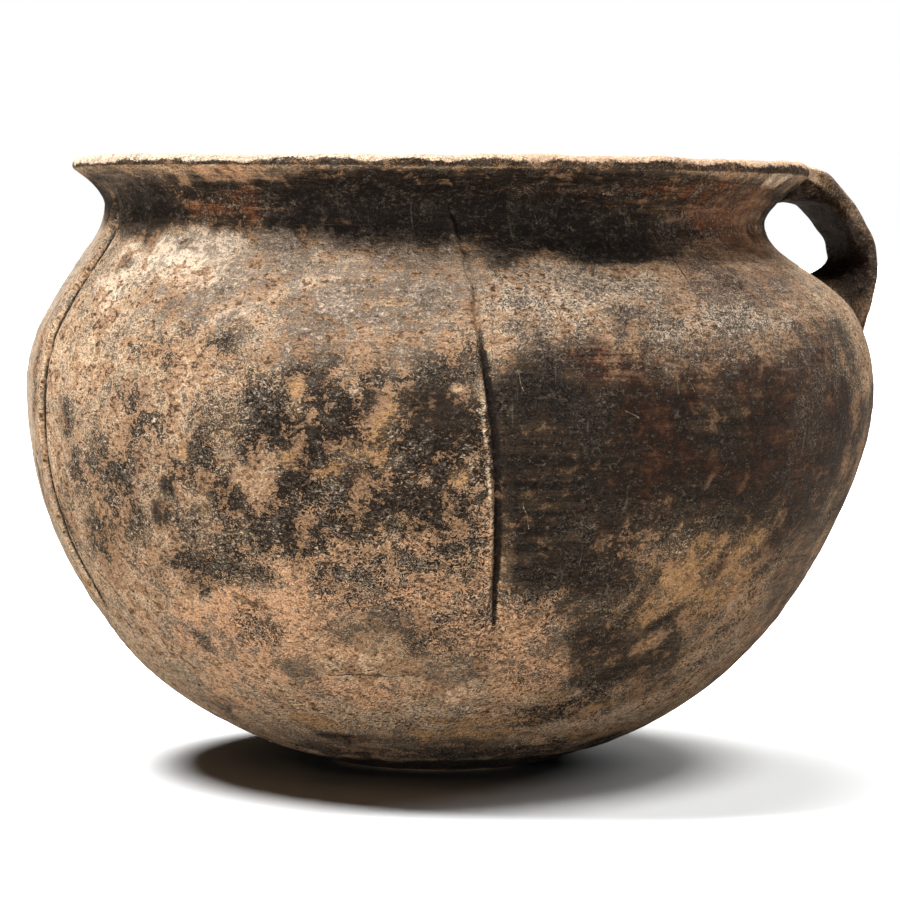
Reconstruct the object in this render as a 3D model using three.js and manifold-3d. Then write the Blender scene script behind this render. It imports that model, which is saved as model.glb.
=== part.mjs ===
// A round-bottomed terracotta jar, built up by hand from clay courses, with a flared rim, one strap handle
// and three upright ribs laid on the wall. Millimetres, +Z up, front towards -Y. The origin is the middle of
// the flattened spot that the jar rests on. Azimuths are degrees from the front, growing towards +X.
import * as THREE from "three";
import { mergeVertices } from "three/addons/utils/BufferGeometryUtils.js";
import Module from "manifold-3d";

const wasm = await Module();
wasm.setup();

// Outside of the vessel
const FOOT_RADIUS = 42;
const BELLY_RADIUS = 190;
const BELLY_HEIGHT = 166;
const NECK_RADIUS = 147.8;
const BELLY_TO_NECK = 79.2;
const LIP_OVERHANG = 17;
const NECK_TO_LIP_TOP = 24.2;
const LIP_ANGLE = 40; // the rim's slope at the lip, above level

// How full the curves between those sizes are
const BOWL_WIDTH_POWER = 2.33;
const BOWL_DEPTH_POWER = 1.7;
const SHOULDER_LEAD = 52; // the belly's pull on the shoulder curve
const NECK_LEAD = 22; // the neck's pull on the shoulder curve
const FLARE_LEAD = 4.2; // the neck's pull on the rim curve
const LIP_LEAD = 11; // the lip's pull on the rim curve

// Clay thickness
const BASE_WALL = 11;
const BELLY_WALL = 7.5;
const LIP_WALL = 6.5;

// Courses: where one band of clay is lapped on the next
const LOWER_COURSE_HEIGHT = 56;
const BELLY_COURSE_BELOW = 47; // how far the belly's own course reaches below its widest ring
const BELLY_COURSE_ABOVE = 9; // and above it
const COLLAR_BELOW_NECK = 17;
const COLLAR_ABOVE_NECK = 6;
const LAP = 4; // how much higher a lap lies inside the wall than outside
const SEAM = 0.3; // clearance between neighbouring pieces

// Hand-built unevenness
const BELLY_DRIFT = 3.5; // how far the belly sits towards +X of the foot
const PLUMB_HEIGHT = 82; // the wall stands true up to here
const NECK_DRIFT = -3.2; // how far the neck sits towards +X
const NECK_TILT = 1.7; // degrees that the neck dips towards +X
const NECK_BEND = 45; // the neck's drift and dip begin this far below it
const LIP_TILT = 0.5; // degrees that the lip dips towards +X

// Strap handle, from the lip to the shoulder
const HANDLE_AZIMUTH = 107;
const STRAP_WIDTH = 48;
const STRAP_THICKNESS = 9.5;
const STRAP_SPREAD_AT_LIP = 12; // extra width where it is pressed on
const STRAP_SPREAD_AT_FOOT = 10;
const HANDLE_BEYOND_FOOT = 14; // least reach of its middle line beyond the wall at its foot
const HANDLE_BEYOND_LIP = 36.2; // and beyond the lip: it clears whichever stands further out
const HANDLE_FOOT_BELOW_NECK = 59;
const HANDLE_REACH_ABOVE_FOOT = 50;
const FOOT_SINK = 3; // how deep the foot is pressed into the shoulder's line
const LIP_PULL = 0.31; // the lip's pull on the strap's curve, as a share of its reach
const REACH_PULL = 0.4; // and that of its outermost point, as a share of the way up or down
const FOOT_LEAD = 27; // length over which the strap bends in to its foot
const FOOT_SLOPE = 77; // degrees above level at which the strap comes down to the wall

// Clay worked into the corners where the handle joins
const LIP_LUTING = { across: 25, out: 12, up: 7.5 };
const LIP_LUTING_BELOW_LIP = 12.5;
const FOOT_LUTING = { across: 39, out: 10, up: 21 };

// Upright ribs
const RIB_WIDTH = 12;
const RIB_HEIGHT = 2.6;
const RIB_ROOT = 0.8; // how far its section runs in before it is trimmed to the wall, as a share of the height
const RIB_CREST = 0.3; // the crest lies this share of the width from the middle, towards +azimuth
const RIB_NECK_WEB = 3; // extra height where a rib bridges the hollow of the neck
const RIB_WEB_LENGTH = 11;
const RIB_TOP_ABOVE_NECK = 5;
const RIB_END_BELOW_BELLY = 107;
const RIB_FADE = 0.22; // share of the length over which a rib thins out at its lower end
const RIB_BLUNT = 0.05; // and at its upper end
const RIBS = [
  { name: "rib_front", top: 1.7, bottom: 6.4 },
  { name: "rib_left", top: -68.5, bottom: -71.5 },
  { name: "rib_back", top: -138.5, bottom: -141.5 },
];

// Faceting
const TURNS = 60;
const WALL_STEP = 15;
const NECK_STEP = 6.5; // finer where the wall turns in and out again
const BOWL_STEPS = 14;
const STRAP_STEPS = 18;
const RIB_STEPS = 22;
const LIP_STEPS = 5;

const NECK_HEIGHT = BELLY_HEIGHT + BELLY_TO_NECK;
const JAR_HEIGHT = NECK_HEIGHT + NECK_TO_LIP_TOP;
const LIP_RADIUS = NECK_RADIUS + LIP_OVERHANG;
const { degToRad, lerp, smoothstep } = THREE.MathUtils;

// The lip is a round nose on the end of the rim
const lipSlope = degToRad(LIP_ANGLE);
const lipOut = new THREE.Vector2(Math.cos(lipSlope), Math.sin(lipSlope));
const lipIn = new THREE.Vector2(-Math.sin(lipSlope), Math.cos(lipSlope));
const lipCentre = new THREE.Vector2(LIP_RADIUS - LIP_WALL / 2, JAR_HEIGHT - LIP_WALL / 2);
const rimEnd = lipCentre.clone().addScaledVector(lipIn, -LIP_WALL / 2);

// The bowl is a quarter of a superellipse that is cut off flat at the foot
function bowlPoints() {
  const footShare = (FOOT_RADIUS / BELLY_RADIUS) ** BOWL_WIDTH_POWER;
  const depth = BELLY_HEIGHT / (1 - footShare) ** (1 / BOWL_DEPTH_POWER);
  const footAngle = Math.asin(Math.sqrt(footShare));
  const points = [];
  for (let i = 0; i <= BOWL_STEPS; i++) {
    const angle = lerp(footAngle, Math.PI / 2, i / BOWL_STEPS);
    const radius = BELLY_RADIUS * Math.sin(angle) ** (2 / BOWL_WIDTH_POWER);
    const below = depth * Math.max(0, Math.cos(angle)) ** (2 / BOWL_DEPTH_POWER);
    points.push(new THREE.Vector2(radius, BELLY_HEIGHT - below));
  }
  return points;
}

// The outside line from the foot's edge to the end of the rim, as radius and height
const outline = new THREE.CurvePath();
outline.add(new THREE.SplineCurve(bowlPoints()));
outline.add(
  new THREE.CubicBezierCurve(
    new THREE.Vector2(BELLY_RADIUS, BELLY_HEIGHT),
    new THREE.Vector2(BELLY_RADIUS, BELLY_HEIGHT + SHOULDER_LEAD),
    new THREE.Vector2(NECK_RADIUS, NECK_HEIGHT - NECK_LEAD),
    new THREE.Vector2(NECK_RADIUS, NECK_HEIGHT),
  ),
);
outline.add(
  new THREE.CubicBezierCurve(
    new THREE.Vector2(NECK_RADIUS, NECK_HEIGHT),
    new THREE.Vector2(NECK_RADIUS, NECK_HEIGHT + FLARE_LEAD),
    rimEnd.clone().addScaledVector(lipOut, -LIP_LEAD),
    rimEnd,
  ),
);
const outlineLength = outline.getLength();
const bellyAlong = outline.curves[0].getLength();

// The share of the outline at which it reaches a height
function shareAtHeight(height) {
  let low = 0;
  let high = 1;
  for (let i = 0; i < 50; i++) {
    const middle = (low + high) / 2;
    if (outline.getPoint(middle).y < height) low = middle;
    else high = middle;
  }
  return (low + high) / 2;
}

function outwardAt(share) {
  const tangent = outline.getTangent(share);
  return new THREE.Vector2(tangent.y, -tangent.x);
}

// A point of the wall's section: a share of the outline, and a distance out from it
function wallPoint(share, out) {
  return outline.getPoint(share).clone().addScaledVector(outwardAt(share), out);
}

function thicknessAt(share) {
  const bellyShare = bellyAlong / outlineLength;
  if (share < bellyShare) return lerp(BASE_WALL, BELLY_WALL, share / bellyShare);
  return lerp(BELLY_WALL, LIP_WALL, (share - bellyShare) / (1 - bellyShare));
}

// The two faces of the wall, and the face that clears it, as distances out from the outline
const outside = () => 0;
const inside = (share) => -thicknessAt(share);
const clear = () => SEAM;

// Points along a face of the wall between two shares of the outline
function wallLine(from, to, face, step = WALL_STEP) {
  const steps = Math.max(2, Math.round((Math.abs(to - from) * outlineLength) / step));
  const line = [];
  for (let i = 0; i <= steps; i++) {
    const share = lerp(from, to, i / steps);
    line.push(wallPoint(share, face(share)));
  }
  return line;
}

// The round nose of the lip, from the outside over to the inside, grown by a clearance
function lipNose(grown) {
  const nose = [];
  for (let i = 1; i < LIP_STEPS; i++) {
    const turn = -Math.PI / 2 + (Math.PI * i) / LIP_STEPS;
    const spoke = lipOut.clone().multiplyScalar(Math.cos(turn)).addScaledVector(lipIn, Math.sin(turn));
    nose.push(lipCentre.clone().addScaledVector(spoke, LIP_WALL / 2 + grown));
  }
  return nose;
}

function turned(profile) {
  return new THREE.LatheGeometry(profile, TURNS).rotateX(Math.PI / 2);
}

// A closed solid of a geometry, and back again
function solidOf(geometry) {
  const bare = geometry.clone();
  bare.deleteAttribute("normal");
  bare.deleteAttribute("uv");
  const merged = mergeVertices(bare, 1e-4);
  const triVerts = new Uint32Array(merged.index.array);
  const vertProperties = merged.attributes.position.array;
  return new wasm.Manifold(new wasm.Mesh({ numProp: 3, vertProperties, triVerts }));
}

function geometryOf(solid) {
  const mesh = solid.getMesh();
  const geometry = new THREE.BufferGeometry();
  geometry.setAttribute("position", new THREE.BufferAttribute(mesh.vertProperties, 3));
  geometry.setIndex(new THREE.BufferAttribute(mesh.triVerts, 1));
  return geometry;
}

// A bar of a constant section, bent into place: place(across, up, share) gives each point
function bentBar(section, steps, place) {
  const bar = new THREE.ExtrudeGeometry(section, { depth: 1, steps, bevelEnabled: false, curveSegments: 3 });
  const position = bar.getAttribute("position");
  for (let i = 0; i < position.count; i++) {
    const point = place(position.getX(i), position.getY(i), position.getZ(i));
    position.setXYZ(i, point.x, point.y, point.z);
  }
  return bar;
}

// Radius, azimuth and height to a point in space
function around(radius, azimuth, height, across = 0) {
  const turn = degToRad(azimuth);
  return new THREE.Vector3(
    radius * Math.sin(turn) + across * Math.cos(turn),
    -radius * Math.cos(turn) + across * Math.sin(turn),
    height,
  );
}

// The uneven stand of a jar raised by hand: rings drift sideways and dip a little
function handBuilt(geometry) {
  const lipDrop = Math.tan(degToRad(LIP_TILT));
  const neckDrop = Math.tan(degToRad(NECK_TILT));
  const position = geometry.getAttribute("position");
  for (let i = 0; i < position.count; i++) {
    const x = position.getX(i);
    const z = position.getZ(i);
    const toBelly = smoothstep(z, PLUMB_HEIGHT, BELLY_HEIGHT);
    const toNeck = smoothstep(z, NECK_HEIGHT - NECK_BEND, NECK_HEIGHT);
    const toLip = smoothstep(z, NECK_HEIGHT, JAR_HEIGHT);
    const drift = lerp(lerp(BELLY_DRIFT * toBelly, NECK_DRIFT, toNeck), 0, toLip);
    const drop = lerp(neckDrop * toNeck, lipDrop, toLip);
    position.setX(i, x + drift);
    position.setZ(i, z - x * drop);
  }
  geometry.computeVertexNormals();
  return geometry;
}

function clay(colour, roughness) {
  return new THREE.MeshStandardMaterial({ color: colour, roughness, metalness: 0 });
}

function piece(name, geometry, material) {
  const mesh = new THREE.Mesh(handBuilt(geometry), material);
  mesh.name = name;
  return mesh;
}

// Shares of the outline at which the laps lie, on the outside
const lapShare = LAP / outlineLength;
const seamShare = SEAM / 2 / outlineLength;
const bowlTop = shareAtHeight(BELLY_HEIGHT - BELLY_COURSE_BELOW - LOWER_COURSE_HEIGHT);
const lowerTop = shareAtHeight(BELLY_HEIGHT - BELLY_COURSE_BELOW);
const bellyTop = shareAtHeight(BELLY_HEIGHT + BELLY_COURSE_ABOVE);
const shoulderTop = shareAtHeight(NECK_HEIGHT - COLLAR_BELOW_NECK);
const collarTop = shareAtHeight(NECK_HEIGHT + COLLAR_ABOVE_NECK);

// The base bowl: flat underneath, closed at the axis, lapped at its upper edge
function baseBowl() {
  const top = bowlTop - seamShare;
  const profile = [new THREE.Vector2(0, 0), ...wallLine(0, top, outside)];
  profile.push(...wallLine(top + lapShare, 0, inside), new THREE.Vector2(0, BASE_WALL));
  return turned(profile);
}

// A band of clay between two laps
function course(from, to, step) {
  const bottom = from + seamShare;
  const top = to - seamShare;
  const profile = wallLine(bottom, top, outside, step);
  profile.push(...wallLine(top + lapShare, bottom + lapShare, inside, step));
  profile.push(profile[0].clone());
  return turned(profile);
}

// The flared rim, from its lap on the collar to the round lip
function rim() {
  const bottom = collarTop + seamShare;
  const profile = [...wallLine(bottom, 1, outside, NECK_STEP), ...lipNose(0)];
  profile.push(...wallLine(1, bottom + lapShare, inside, NECK_STEP));
  profile.push(profile[0].clone());
  return turned(profile);
}

// The whole outside of the vessel, filled in and grown by the seam, for fitting pieces against it
function filledVessel() {
  const profile = [new THREE.Vector2(0, -SEAM), ...wallLine(0, bowlTop - seamShare, clear)];
  profile.push(...wallLine(bowlTop + seamShare, lowerTop - seamShare, clear));
  profile.push(...wallLine(lowerTop + seamShare, bellyTop - seamShare, clear));
  profile.push(...wallLine(bellyTop + seamShare, shoulderTop - seamShare, clear));
  profile.push(...wallLine(shoulderTop + seamShare, collarTop - seamShare, clear, NECK_STEP));
  profile.push(...wallLine(collarTop + seamShare, 1, clear, NECK_STEP));
  profile.push(...lipNose(SEAM), new THREE.Vector2(0, JAR_HEIGHT + SEAM));
  return solidOf(turned(profile));
}

// The strap's middle line, as radius and height
const handleFootHeight = NECK_HEIGHT - HANDLE_FOOT_BELOW_NECK;
const handleFootShare = shareAtHeight(handleFootHeight);
const handleFoot = wallPoint(handleFootShare, -FOOT_SINK);
const handleReach = new THREE.Vector2(
  Math.max(outline.getPoint(handleFootShare).x + HANDLE_BEYOND_FOOT, LIP_RADIUS + HANDLE_BEYOND_LIP),
  handleFootHeight + HANDLE_REACH_ABOVE_FOOT,
);
const handleStart = new THREE.Vector2(lipCentre.x - FOOT_SINK, JAR_HEIGHT - STRAP_THICKNESS / 2);
const footSlope = degToRad(FOOT_SLOPE);
const strapLine = new THREE.CurvePath();
strapLine.add(
  new THREE.CubicBezierCurve(
    handleStart,
    new THREE.Vector2(lerp(handleStart.x, handleReach.x, LIP_PULL), handleStart.y),
    new THREE.Vector2(handleReach.x, lerp(handleReach.y, handleStart.y, REACH_PULL)),
    handleReach,
  ),
);
strapLine.add(
  new THREE.CubicBezierCurve(
    handleReach,
    new THREE.Vector2(handleReach.x, lerp(handleReach.y, handleFoot.y, REACH_PULL)),
    handleFoot.clone().add(new THREE.Vector2(Math.cos(footSlope), Math.sin(footSlope)).multiplyScalar(FOOT_LEAD)),
    handleFoot,
  ),
);

// A flat strap section with round edges
function strapSection(width, thickness) {
  const half = thickness / 2;
  const flat = width / 2 - half;
  const section = new THREE.Shape();
  section.moveTo(-flat, -half);
  section.lineTo(flat, -half);
  section.absarc(flat, 0, half, -Math.PI / 2, Math.PI / 2, false);
  section.lineTo(-flat, half);
  section.absarc(-flat, 0, half, Math.PI / 2, (3 * Math.PI) / 2, false);
  return section;
}

// The strap, wider at both ends where it is pressed on. Grown, it is the cutter that clears the strap, and
// with headroom it also clears what lies over the strap.
function strap(grown = 0, headroom = 0) {
  const section = strapSection(STRAP_WIDTH + 2 * grown, STRAP_THICKNESS + 2 * grown);
  return bentBar(section, STRAP_STEPS, (across, height, share) => {
    const up = height > 0 ? height + headroom : height;
    const middle = strapLine.getPoint(share);
    const along = strapLine.getTangent(share);
    const spread = STRAP_SPREAD_AT_LIP * (1 - share) ** 4 + STRAP_SPREAD_AT_FOOT * share ** 4;
    const wide = across * (1 + spread / STRAP_WIDTH);
    return around(middle.x - along.y * up, HANDLE_AZIMUTH, middle.y + along.x * up, wide);
  });
}

// A lump of soft clay pressed into a corner of the handle
function lump(size, radius, height) {
  const ball = new THREE.SphereGeometry(1, 18, 12).scale(size.across, size.out, size.up);
  ball.rotateZ(degToRad(HANDLE_AZIMUTH));
  const middle = around(radius, HANDLE_AZIMUTH, height);
  return solidOf(ball.translate(middle.x, middle.y, middle.z));
}

// A rib's section: feathered to one side, with a steep face on the other
function ribSection() {
  const half = RIB_WIDTH / 2;
  const section = new THREE.Shape();
  section.moveTo(-half, -RIB_ROOT);
  section.lineTo(half, -RIB_ROOT);
  section.lineTo(half, 0.25);
  section.lineTo(RIB_CREST * RIB_WIDTH, 1);
  section.lineTo(0, 0.72);
  section.lineTo(-half, 0.12);
  return section;
}

// A rib, laid down the wall from the neck until it thins out
function rib({ top, bottom }) {
  const from = shareAtHeight(NECK_HEIGHT + RIB_TOP_ABOVE_NECK);
  const to = shareAtHeight(BELLY_HEIGHT - RIB_END_BELOW_BELLY);
  return bentBar(ribSection(), RIB_STEPS, (across, up, share) => {
    const onWall = lerp(from, to, share);
    const fromNeck = (outline.getPoint(onWall).y - NECK_HEIGHT) / RIB_WEB_LENGTH;
    const web = RIB_NECK_WEB * Math.exp(-fromNeck * fromNeck);
    const fade = smoothstep(share, -RIB_BLUNT, RIB_BLUNT) * (1 - 0.9 * smoothstep(share, 1 - RIB_FADE, 1));
    const point = wallPoint(onWall, up * fade * (RIB_HEIGHT + web));
    return around(point.x, lerp(top, bottom, share), point.y, across * fade);
  });
}

const bodyClay = clay(0x86694f, 0.82);
const sootyClay = clay(0x4b3c31, 0.72);
const paleClay = clay(0xa98763, 0.85);

const vessel = new THREE.Group();
vessel.add(
  piece("base_bowl", baseBowl(), paleClay),
  piece("lower_course", course(bowlTop, lowerTop), bodyClay),
  piece("belly_course", course(lowerTop, bellyTop), bodyClay),
  piece("shoulder_course", course(bellyTop, shoulderTop), bodyClay),
  piece("neck_collar", course(shoulderTop, collarTop, NECK_STEP), sootyClay),
  piece("flared_rim", rim(), sootyClay),
);

const filled = filledVessel();
const strapClearance = solidOf(strap(SEAM));
const overStrap = solidOf(strap(SEAM, 2 * LIP_LUTING.up));
const lipLump = lump(LIP_LUTING, LIP_RADIUS, JAR_HEIGHT - LIP_LUTING_BELOW_LIP);
const footLump = lump(FOOT_LUTING, outline.getPoint(handleFootShare).x, handleFootHeight);
const handle = new THREE.Group();
handle.add(
  piece("strap_handle", geometryOf(solidOf(strap()).subtract(filled)), sootyClay),
  piece("handle_lip_luting", geometryOf(lipLump.subtract(filled).subtract(overStrap)), sootyClay),
  piece("handle_foot_luting", geometryOf(footLump.subtract(filled).subtract(strapClearance)), sootyClay),
);

const ribs = new THREE.Group();
for (const line of RIBS) {
  ribs.add(piece(line.name, geometryOf(solidOf(rib(line)).subtract(filled)), paleClay));
}

const jar = new THREE.Group();
jar.add(vessel, handle, ribs);

export default jar;
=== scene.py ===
"""Dresses the terracotta jar: every clay piece of the solids is replaced by a finely meshed one with
the uneven surface, the fire marks and the wear of a jar that was built by hand and used over a fire.

Sizes are in millimetres, as in the solids, and become metres when a mesh is made. Azimuths are in
degrees from the front (-Y), growing towards +X. A place on the wall is an azimuth and a distance
along the outline from the foot's edge. A mesh's rows run round the jar and its columns up the jar.
"""
import math
from typing import NamedTuple

import bpy
import numpy as np
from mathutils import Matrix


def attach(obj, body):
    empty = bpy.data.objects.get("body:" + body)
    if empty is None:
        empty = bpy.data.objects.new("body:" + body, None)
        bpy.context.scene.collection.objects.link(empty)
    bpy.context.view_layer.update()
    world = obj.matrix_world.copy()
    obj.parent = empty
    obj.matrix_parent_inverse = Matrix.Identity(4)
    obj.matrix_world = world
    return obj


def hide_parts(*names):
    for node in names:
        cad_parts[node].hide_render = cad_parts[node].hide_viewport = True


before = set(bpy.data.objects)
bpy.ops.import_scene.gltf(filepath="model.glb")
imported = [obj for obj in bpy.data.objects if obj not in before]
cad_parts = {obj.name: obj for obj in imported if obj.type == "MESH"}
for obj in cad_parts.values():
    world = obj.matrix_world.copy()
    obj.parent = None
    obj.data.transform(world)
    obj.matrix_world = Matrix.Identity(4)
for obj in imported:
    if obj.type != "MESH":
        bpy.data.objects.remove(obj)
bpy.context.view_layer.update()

MM = 0.001

# Outside of the vessel
FOOT_RADIUS = 42.0
BELLY_RADIUS = 190.0
BELLY_HEIGHT = 166.0
NECK_RADIUS = 147.8
NECK_HEIGHT = BELLY_HEIGHT + 79.2
LIP_RADIUS = NECK_RADIUS + 17.0
MOUTH_RADIUS = 160.0
JAR_HEIGHT = NECK_HEIGHT + 24.2
LIP_ANGLE = 40.0
BOWL_WIDTH_POWER = 2.33
BOWL_DEPTH_POWER = 1.7
SHOULDER_LEAD = 52.0
NECK_LEAD = 22.0
FLARE_LEAD = 4.2
LIP_LEAD = 11.0

# Clay thickness
BASE_WALL = 11.0
BELLY_WALL = 7.5
LIP_WALL = 6.5
NOSE_LENGTH = math.pi / 2 * LIP_WALL

# Heights at which one course of clay is lapped on the next
BOWL_TOP = BELLY_HEIGHT - 103.0
LOWER_TOP = BELLY_HEIGHT - 47.0
BELLY_TOP = BELLY_HEIGHT + 9.0
SHOULDER_TOP = NECK_HEIGHT - 17.0
COLLAR_TOP = NECK_HEIGHT + 6.0
LAP = 4.0

# Uneven stand of the jar
BELLY_DRIFT = 3.5
PLUMB_HEIGHT = 82.0
NECK_DRIFT = -3.2
NECK_SLOPE = math.tan(math.radians(1.7))
NECK_BEND = 45.0
LIP_SLOPE = math.tan(math.radians(0.5))

# Hand-worked surface: lumps, pressed in on the whole, and a bulge low on one side
LUMP_SHARE = 0.55
HIGHEST_LUMP = 0.05
PRESSED_IN = 0.42
WIPE_STRETCH = 8.0
FLOW_RADIUS = 150.0
SAG_AZIMUTH = -90.0
SAG_HEIGHT = 44.0
SAG_OUT = 1.9

# Strap handle
HANDLE_AZIMUTH = 107.0
STRAP_WIDTH = 48.0
STRAP_THICKNESS = 9.5
STRAP_SPREAD_AT_LIP = 12.0
STRAP_SPREAD_AT_FOOT = 10.0
STRAP_THINNER_THAN_LIP = 0.2
HANDLE_REACH = LIP_RADIUS + 36.2
HANDLE_FOOT_HEIGHT = NECK_HEIGHT - 59.0
HANDLE_REACH_HEIGHT = HANDLE_FOOT_HEIGHT + 50.0
FOOT_SINK = 3.0
LIP_PULL = 0.31
REACH_PULL = 0.4
FOOT_LEAD = 27.0
FOOT_SLOPE = math.radians(77.0)

# Clay worked on round the strap's foot: shares of the strap's length, and its reach on the wall
FOOT_RING_INNER, FOOT_RING_OUTER = 0.52, 0.74
FOOT_SKIRT_ACROSS = 36.0
FOOT_SKIRT_ABOVE, FOOT_SKIRT_BELOW = 45.0, 20.0
FOOT_BURIED = 3.0

# Clay worked into the corner under the strap: shares of the strap's length, and its reach on the wall
CORNER_START, CORNER_LENGTH = 0.03, 0.23
CORNER_DROP = 20.0
CORNER_SUNK = 0.3


class Rib(NamedTuple):
    """An upright rib: its azimuth at the top and the bottom, the depth of the groove beside it at the
    top, how dark its groove and steep face are painted, soot and painted shade (0 to 1), how far it
    rises and the pale wear with a painted highlight on its crest (0 to 1)."""

    top: float
    bottom: float
    groove: float
    soot: float
    rise: float
    wear: float


RIBS = {
    "rib_front": Rib(top=1.7, bottom=6.4, groove=0.7, soot=1.0, rise=1.4, wear=0.42),
    "rib_left": Rib(top=-70.5, bottom=-71.5, groove=1.7, soot=0.85, rise=0.8, wear=0.1),
    "rib_back": Rib(top=-138.5, bottom=-141.5, groove=1.0, soot=0.7, rise=1.4, wear=0.3),
}
RIB_TOP = NECK_HEIGHT + 5.0
RIB_BOTTOM = BELLY_HEIGHT - 107.0
RIB_STARTS = (0.0, 0.05)  # shares of its length over which a rib starts at the neck
RIB_ENDS = (0.72, 1.0)  # and over which it dies away
RIB_SWAY = 3.4
RIB_LEFT, RIB_RIGHT = -9.0, 5.8
RIB_FINE_FROM = 1.5
RIB_CREST = 3.0
RIB_WEB = 2.4
RIB_SEED = 61
GROOVE_ASIDE = 6.2
GROOVE_DEPTH = 2.0
GROOVE_STEEP_SIDE, GROOVE_EASY_SIDE = 1.8, 3.0
BANK_RISE = 0.6
BANK_ASIDE = -9.0
BANK_WIDTH = 10.0

# Sand, crust, cracks and scratches
GRAINS_ABOVE_FOOT, GRAINS_BELOW_LIP = 14.0, 12.0
GRAINS_SUNK = 0.05
CRUST_HALF_WIDTH, CRUST_HALF_HEIGHT = 15.0, 6.0
CRUST_SUNK = 0.1
CRACK_WIDTH, SCRATCH_WIDTH = 0.5, 0.3
LINE_STEP = 0.8
LINE_SUNK = 0.05

# Mesh
BOWL_POINTS, SHOULDER_POINTS, FLARE_POINTS = 400, 200, 120
COLUMN_STEP = 0.55  # degrees
RIB_COLUMN_STEP = 0.16
FINE_LEFT_OF_RIB, FINE_RIGHT_OF_RIB = 3.5, 4.5  # degrees
ROW_STEP = 1.75
NECK_ROW_STEP = 1.1
RIB_ROW_STEP = 1.1
INNER_STEP = 5.0
INNER_LIP_STEP = 2.5
NOSE_ROWS = 10
BASE_RINGS = 7
STRAP_ROWS = 130
STRAP_COLUMNS = 96
STRAP_CURVE_POINTS = 200
STRAP_LINE_POINTS = 400
FOOT_SKIN_ROWS = 30
CORNER_ROWS, CORNER_COLUMNS = 18, 44

# The view: a 900 pixel square, taken from in front and a little under the height of the lip
PHOTO_SIZE = 900
CAMERA_DISTANCE = 1700.0
CAMERA_HEIGHT = 231.5
CAMERA_SIDE = 3.7
CAMERA_FOCAL = 3783.0  # in pixels
HORIZON_ROW = 245.0
CAMERA_PITCH = math.atan((PHOTO_SIZE / 2 - HORIZON_ROW) / CAMERA_FOCAL)
SENSOR_WIDTH = 36.0
VIEW_SPREAD = 100.0  # degrees to either side of the front
VIEW_AZIMUTH_STEP = 0.5
VIEW_ALONG_STEP = 1.0
OUT_OF_SIGHT = 1e6


# Small helpers


def smoothstep(value, low, high):
    share = np.clip((value - low) / (high - low), 0.0, 1.0)
    return share * share * (3.0 - 2.0 * share)


def within(value, start, full, fade, end):
    """1 from full to fade, easing to 0 at start and at end."""
    return smoothstep(value, start, full) * (1 - smoothstep(value, fade, end))


def bump(value, middle, spread):
    return np.exp(-(((value - middle) / spread) ** 2))


def turned(azimuth, middle):
    """Degrees round the jar from one azimuth to another, -180 to 180."""
    return (azimuth - middle + 180.0) % 360.0 - 180.0


def unit(vectors):
    return vectors / np.maximum(np.linalg.norm(vectors, axis=-1, keepdims=True), 1e-9)


def cubic(t, start, lead, trail, end):
    """Points at shares t of the curve that leaves start towards lead and reaches end from trail."""
    return (1 - t) ** 3 * start + 3 * (1 - t) ** 2 * t * lead + 3 * (1 - t) * t * t * trail + t**3 * end


def bezier(start, lead, trail, end, count):
    t = np.linspace(0.0, 1.0, count)[:, None]
    return cubic(t, *(np.asarray(point, float) for point in (start, lead, trail, end)))


def lengths(line):
    """Distance along a line of points, at each point."""
    steps = np.linalg.norm(np.diff(line, axis=0), axis=1)
    return np.concatenate([[0.0], np.cumsum(steps)])


def waves(points, size, seed, count=28):
    """A smooth random field of about unit spread whose swells are about size millimetres wide."""
    rng = np.random.default_rng(seed)
    heading = rng.normal(size=(count, 3))
    heading /= np.linalg.norm(heading, axis=1)[:, None]
    pace = 2 * math.pi / size * rng.uniform(0.55, 1.6, count)
    phase = rng.uniform(0, 2 * math.pi, count)
    return np.cos(points @ (heading * pace[:, None]).T + phase).sum(-1) * math.sqrt(2.0 / count)


def swells(points, *layers):
    """Waves laid over each other, each layer with its height, the width of its swells and its seed."""
    return sum(height * waves(points, size, seed) for height, size, seed in layers)


# The outline and the wall


def trace_outline():
    """Radius and height of the outside, from the foot's edge to the end of the rim, and the lip's
    middle with its directions out and in."""
    foot_share = (FOOT_RADIUS / BELLY_RADIUS) ** BOWL_WIDTH_POWER
    depth = BELLY_HEIGHT / (1 - foot_share) ** (1 / BOWL_DEPTH_POWER)
    angle = np.linspace(math.asin(math.sqrt(foot_share)), math.pi / 2, BOWL_POINTS)
    bowl_radius = BELLY_RADIUS * np.sin(angle) ** (2 / BOWL_WIDTH_POWER)
    bowl_height = BELLY_HEIGHT - depth * np.clip(np.cos(angle), 0, 1) ** (2 / BOWL_DEPTH_POWER)
    bowl = np.stack([bowl_radius, bowl_height], axis=1)
    belly, neck = (BELLY_RADIUS, BELLY_HEIGHT), (NECK_RADIUS, NECK_HEIGHT)
    over_belly = (BELLY_RADIUS, BELLY_HEIGHT + SHOULDER_LEAD)
    under_neck = (NECK_RADIUS, NECK_HEIGHT - NECK_LEAD)
    shoulder = bezier(belly, over_belly, under_neck, neck, SHOULDER_POINTS)
    slope = math.radians(LIP_ANGLE)
    out = np.array([math.cos(slope), math.sin(slope)])
    inward = np.array([-out[1], out[0]])
    lip = np.array([LIP_RADIUS, JAR_HEIGHT]) - LIP_WALL / 2
    rim_end = lip - inward * LIP_WALL / 2
    over_neck = (NECK_RADIUS, NECK_HEIGHT + FLARE_LEAD)
    flare = bezier(neck, over_neck, rim_end - out * LIP_LEAD, rim_end, FLARE_POINTS)
    return np.concatenate([bowl, shoulder[1:], flare[1:]]), lip, out, inward


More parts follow.
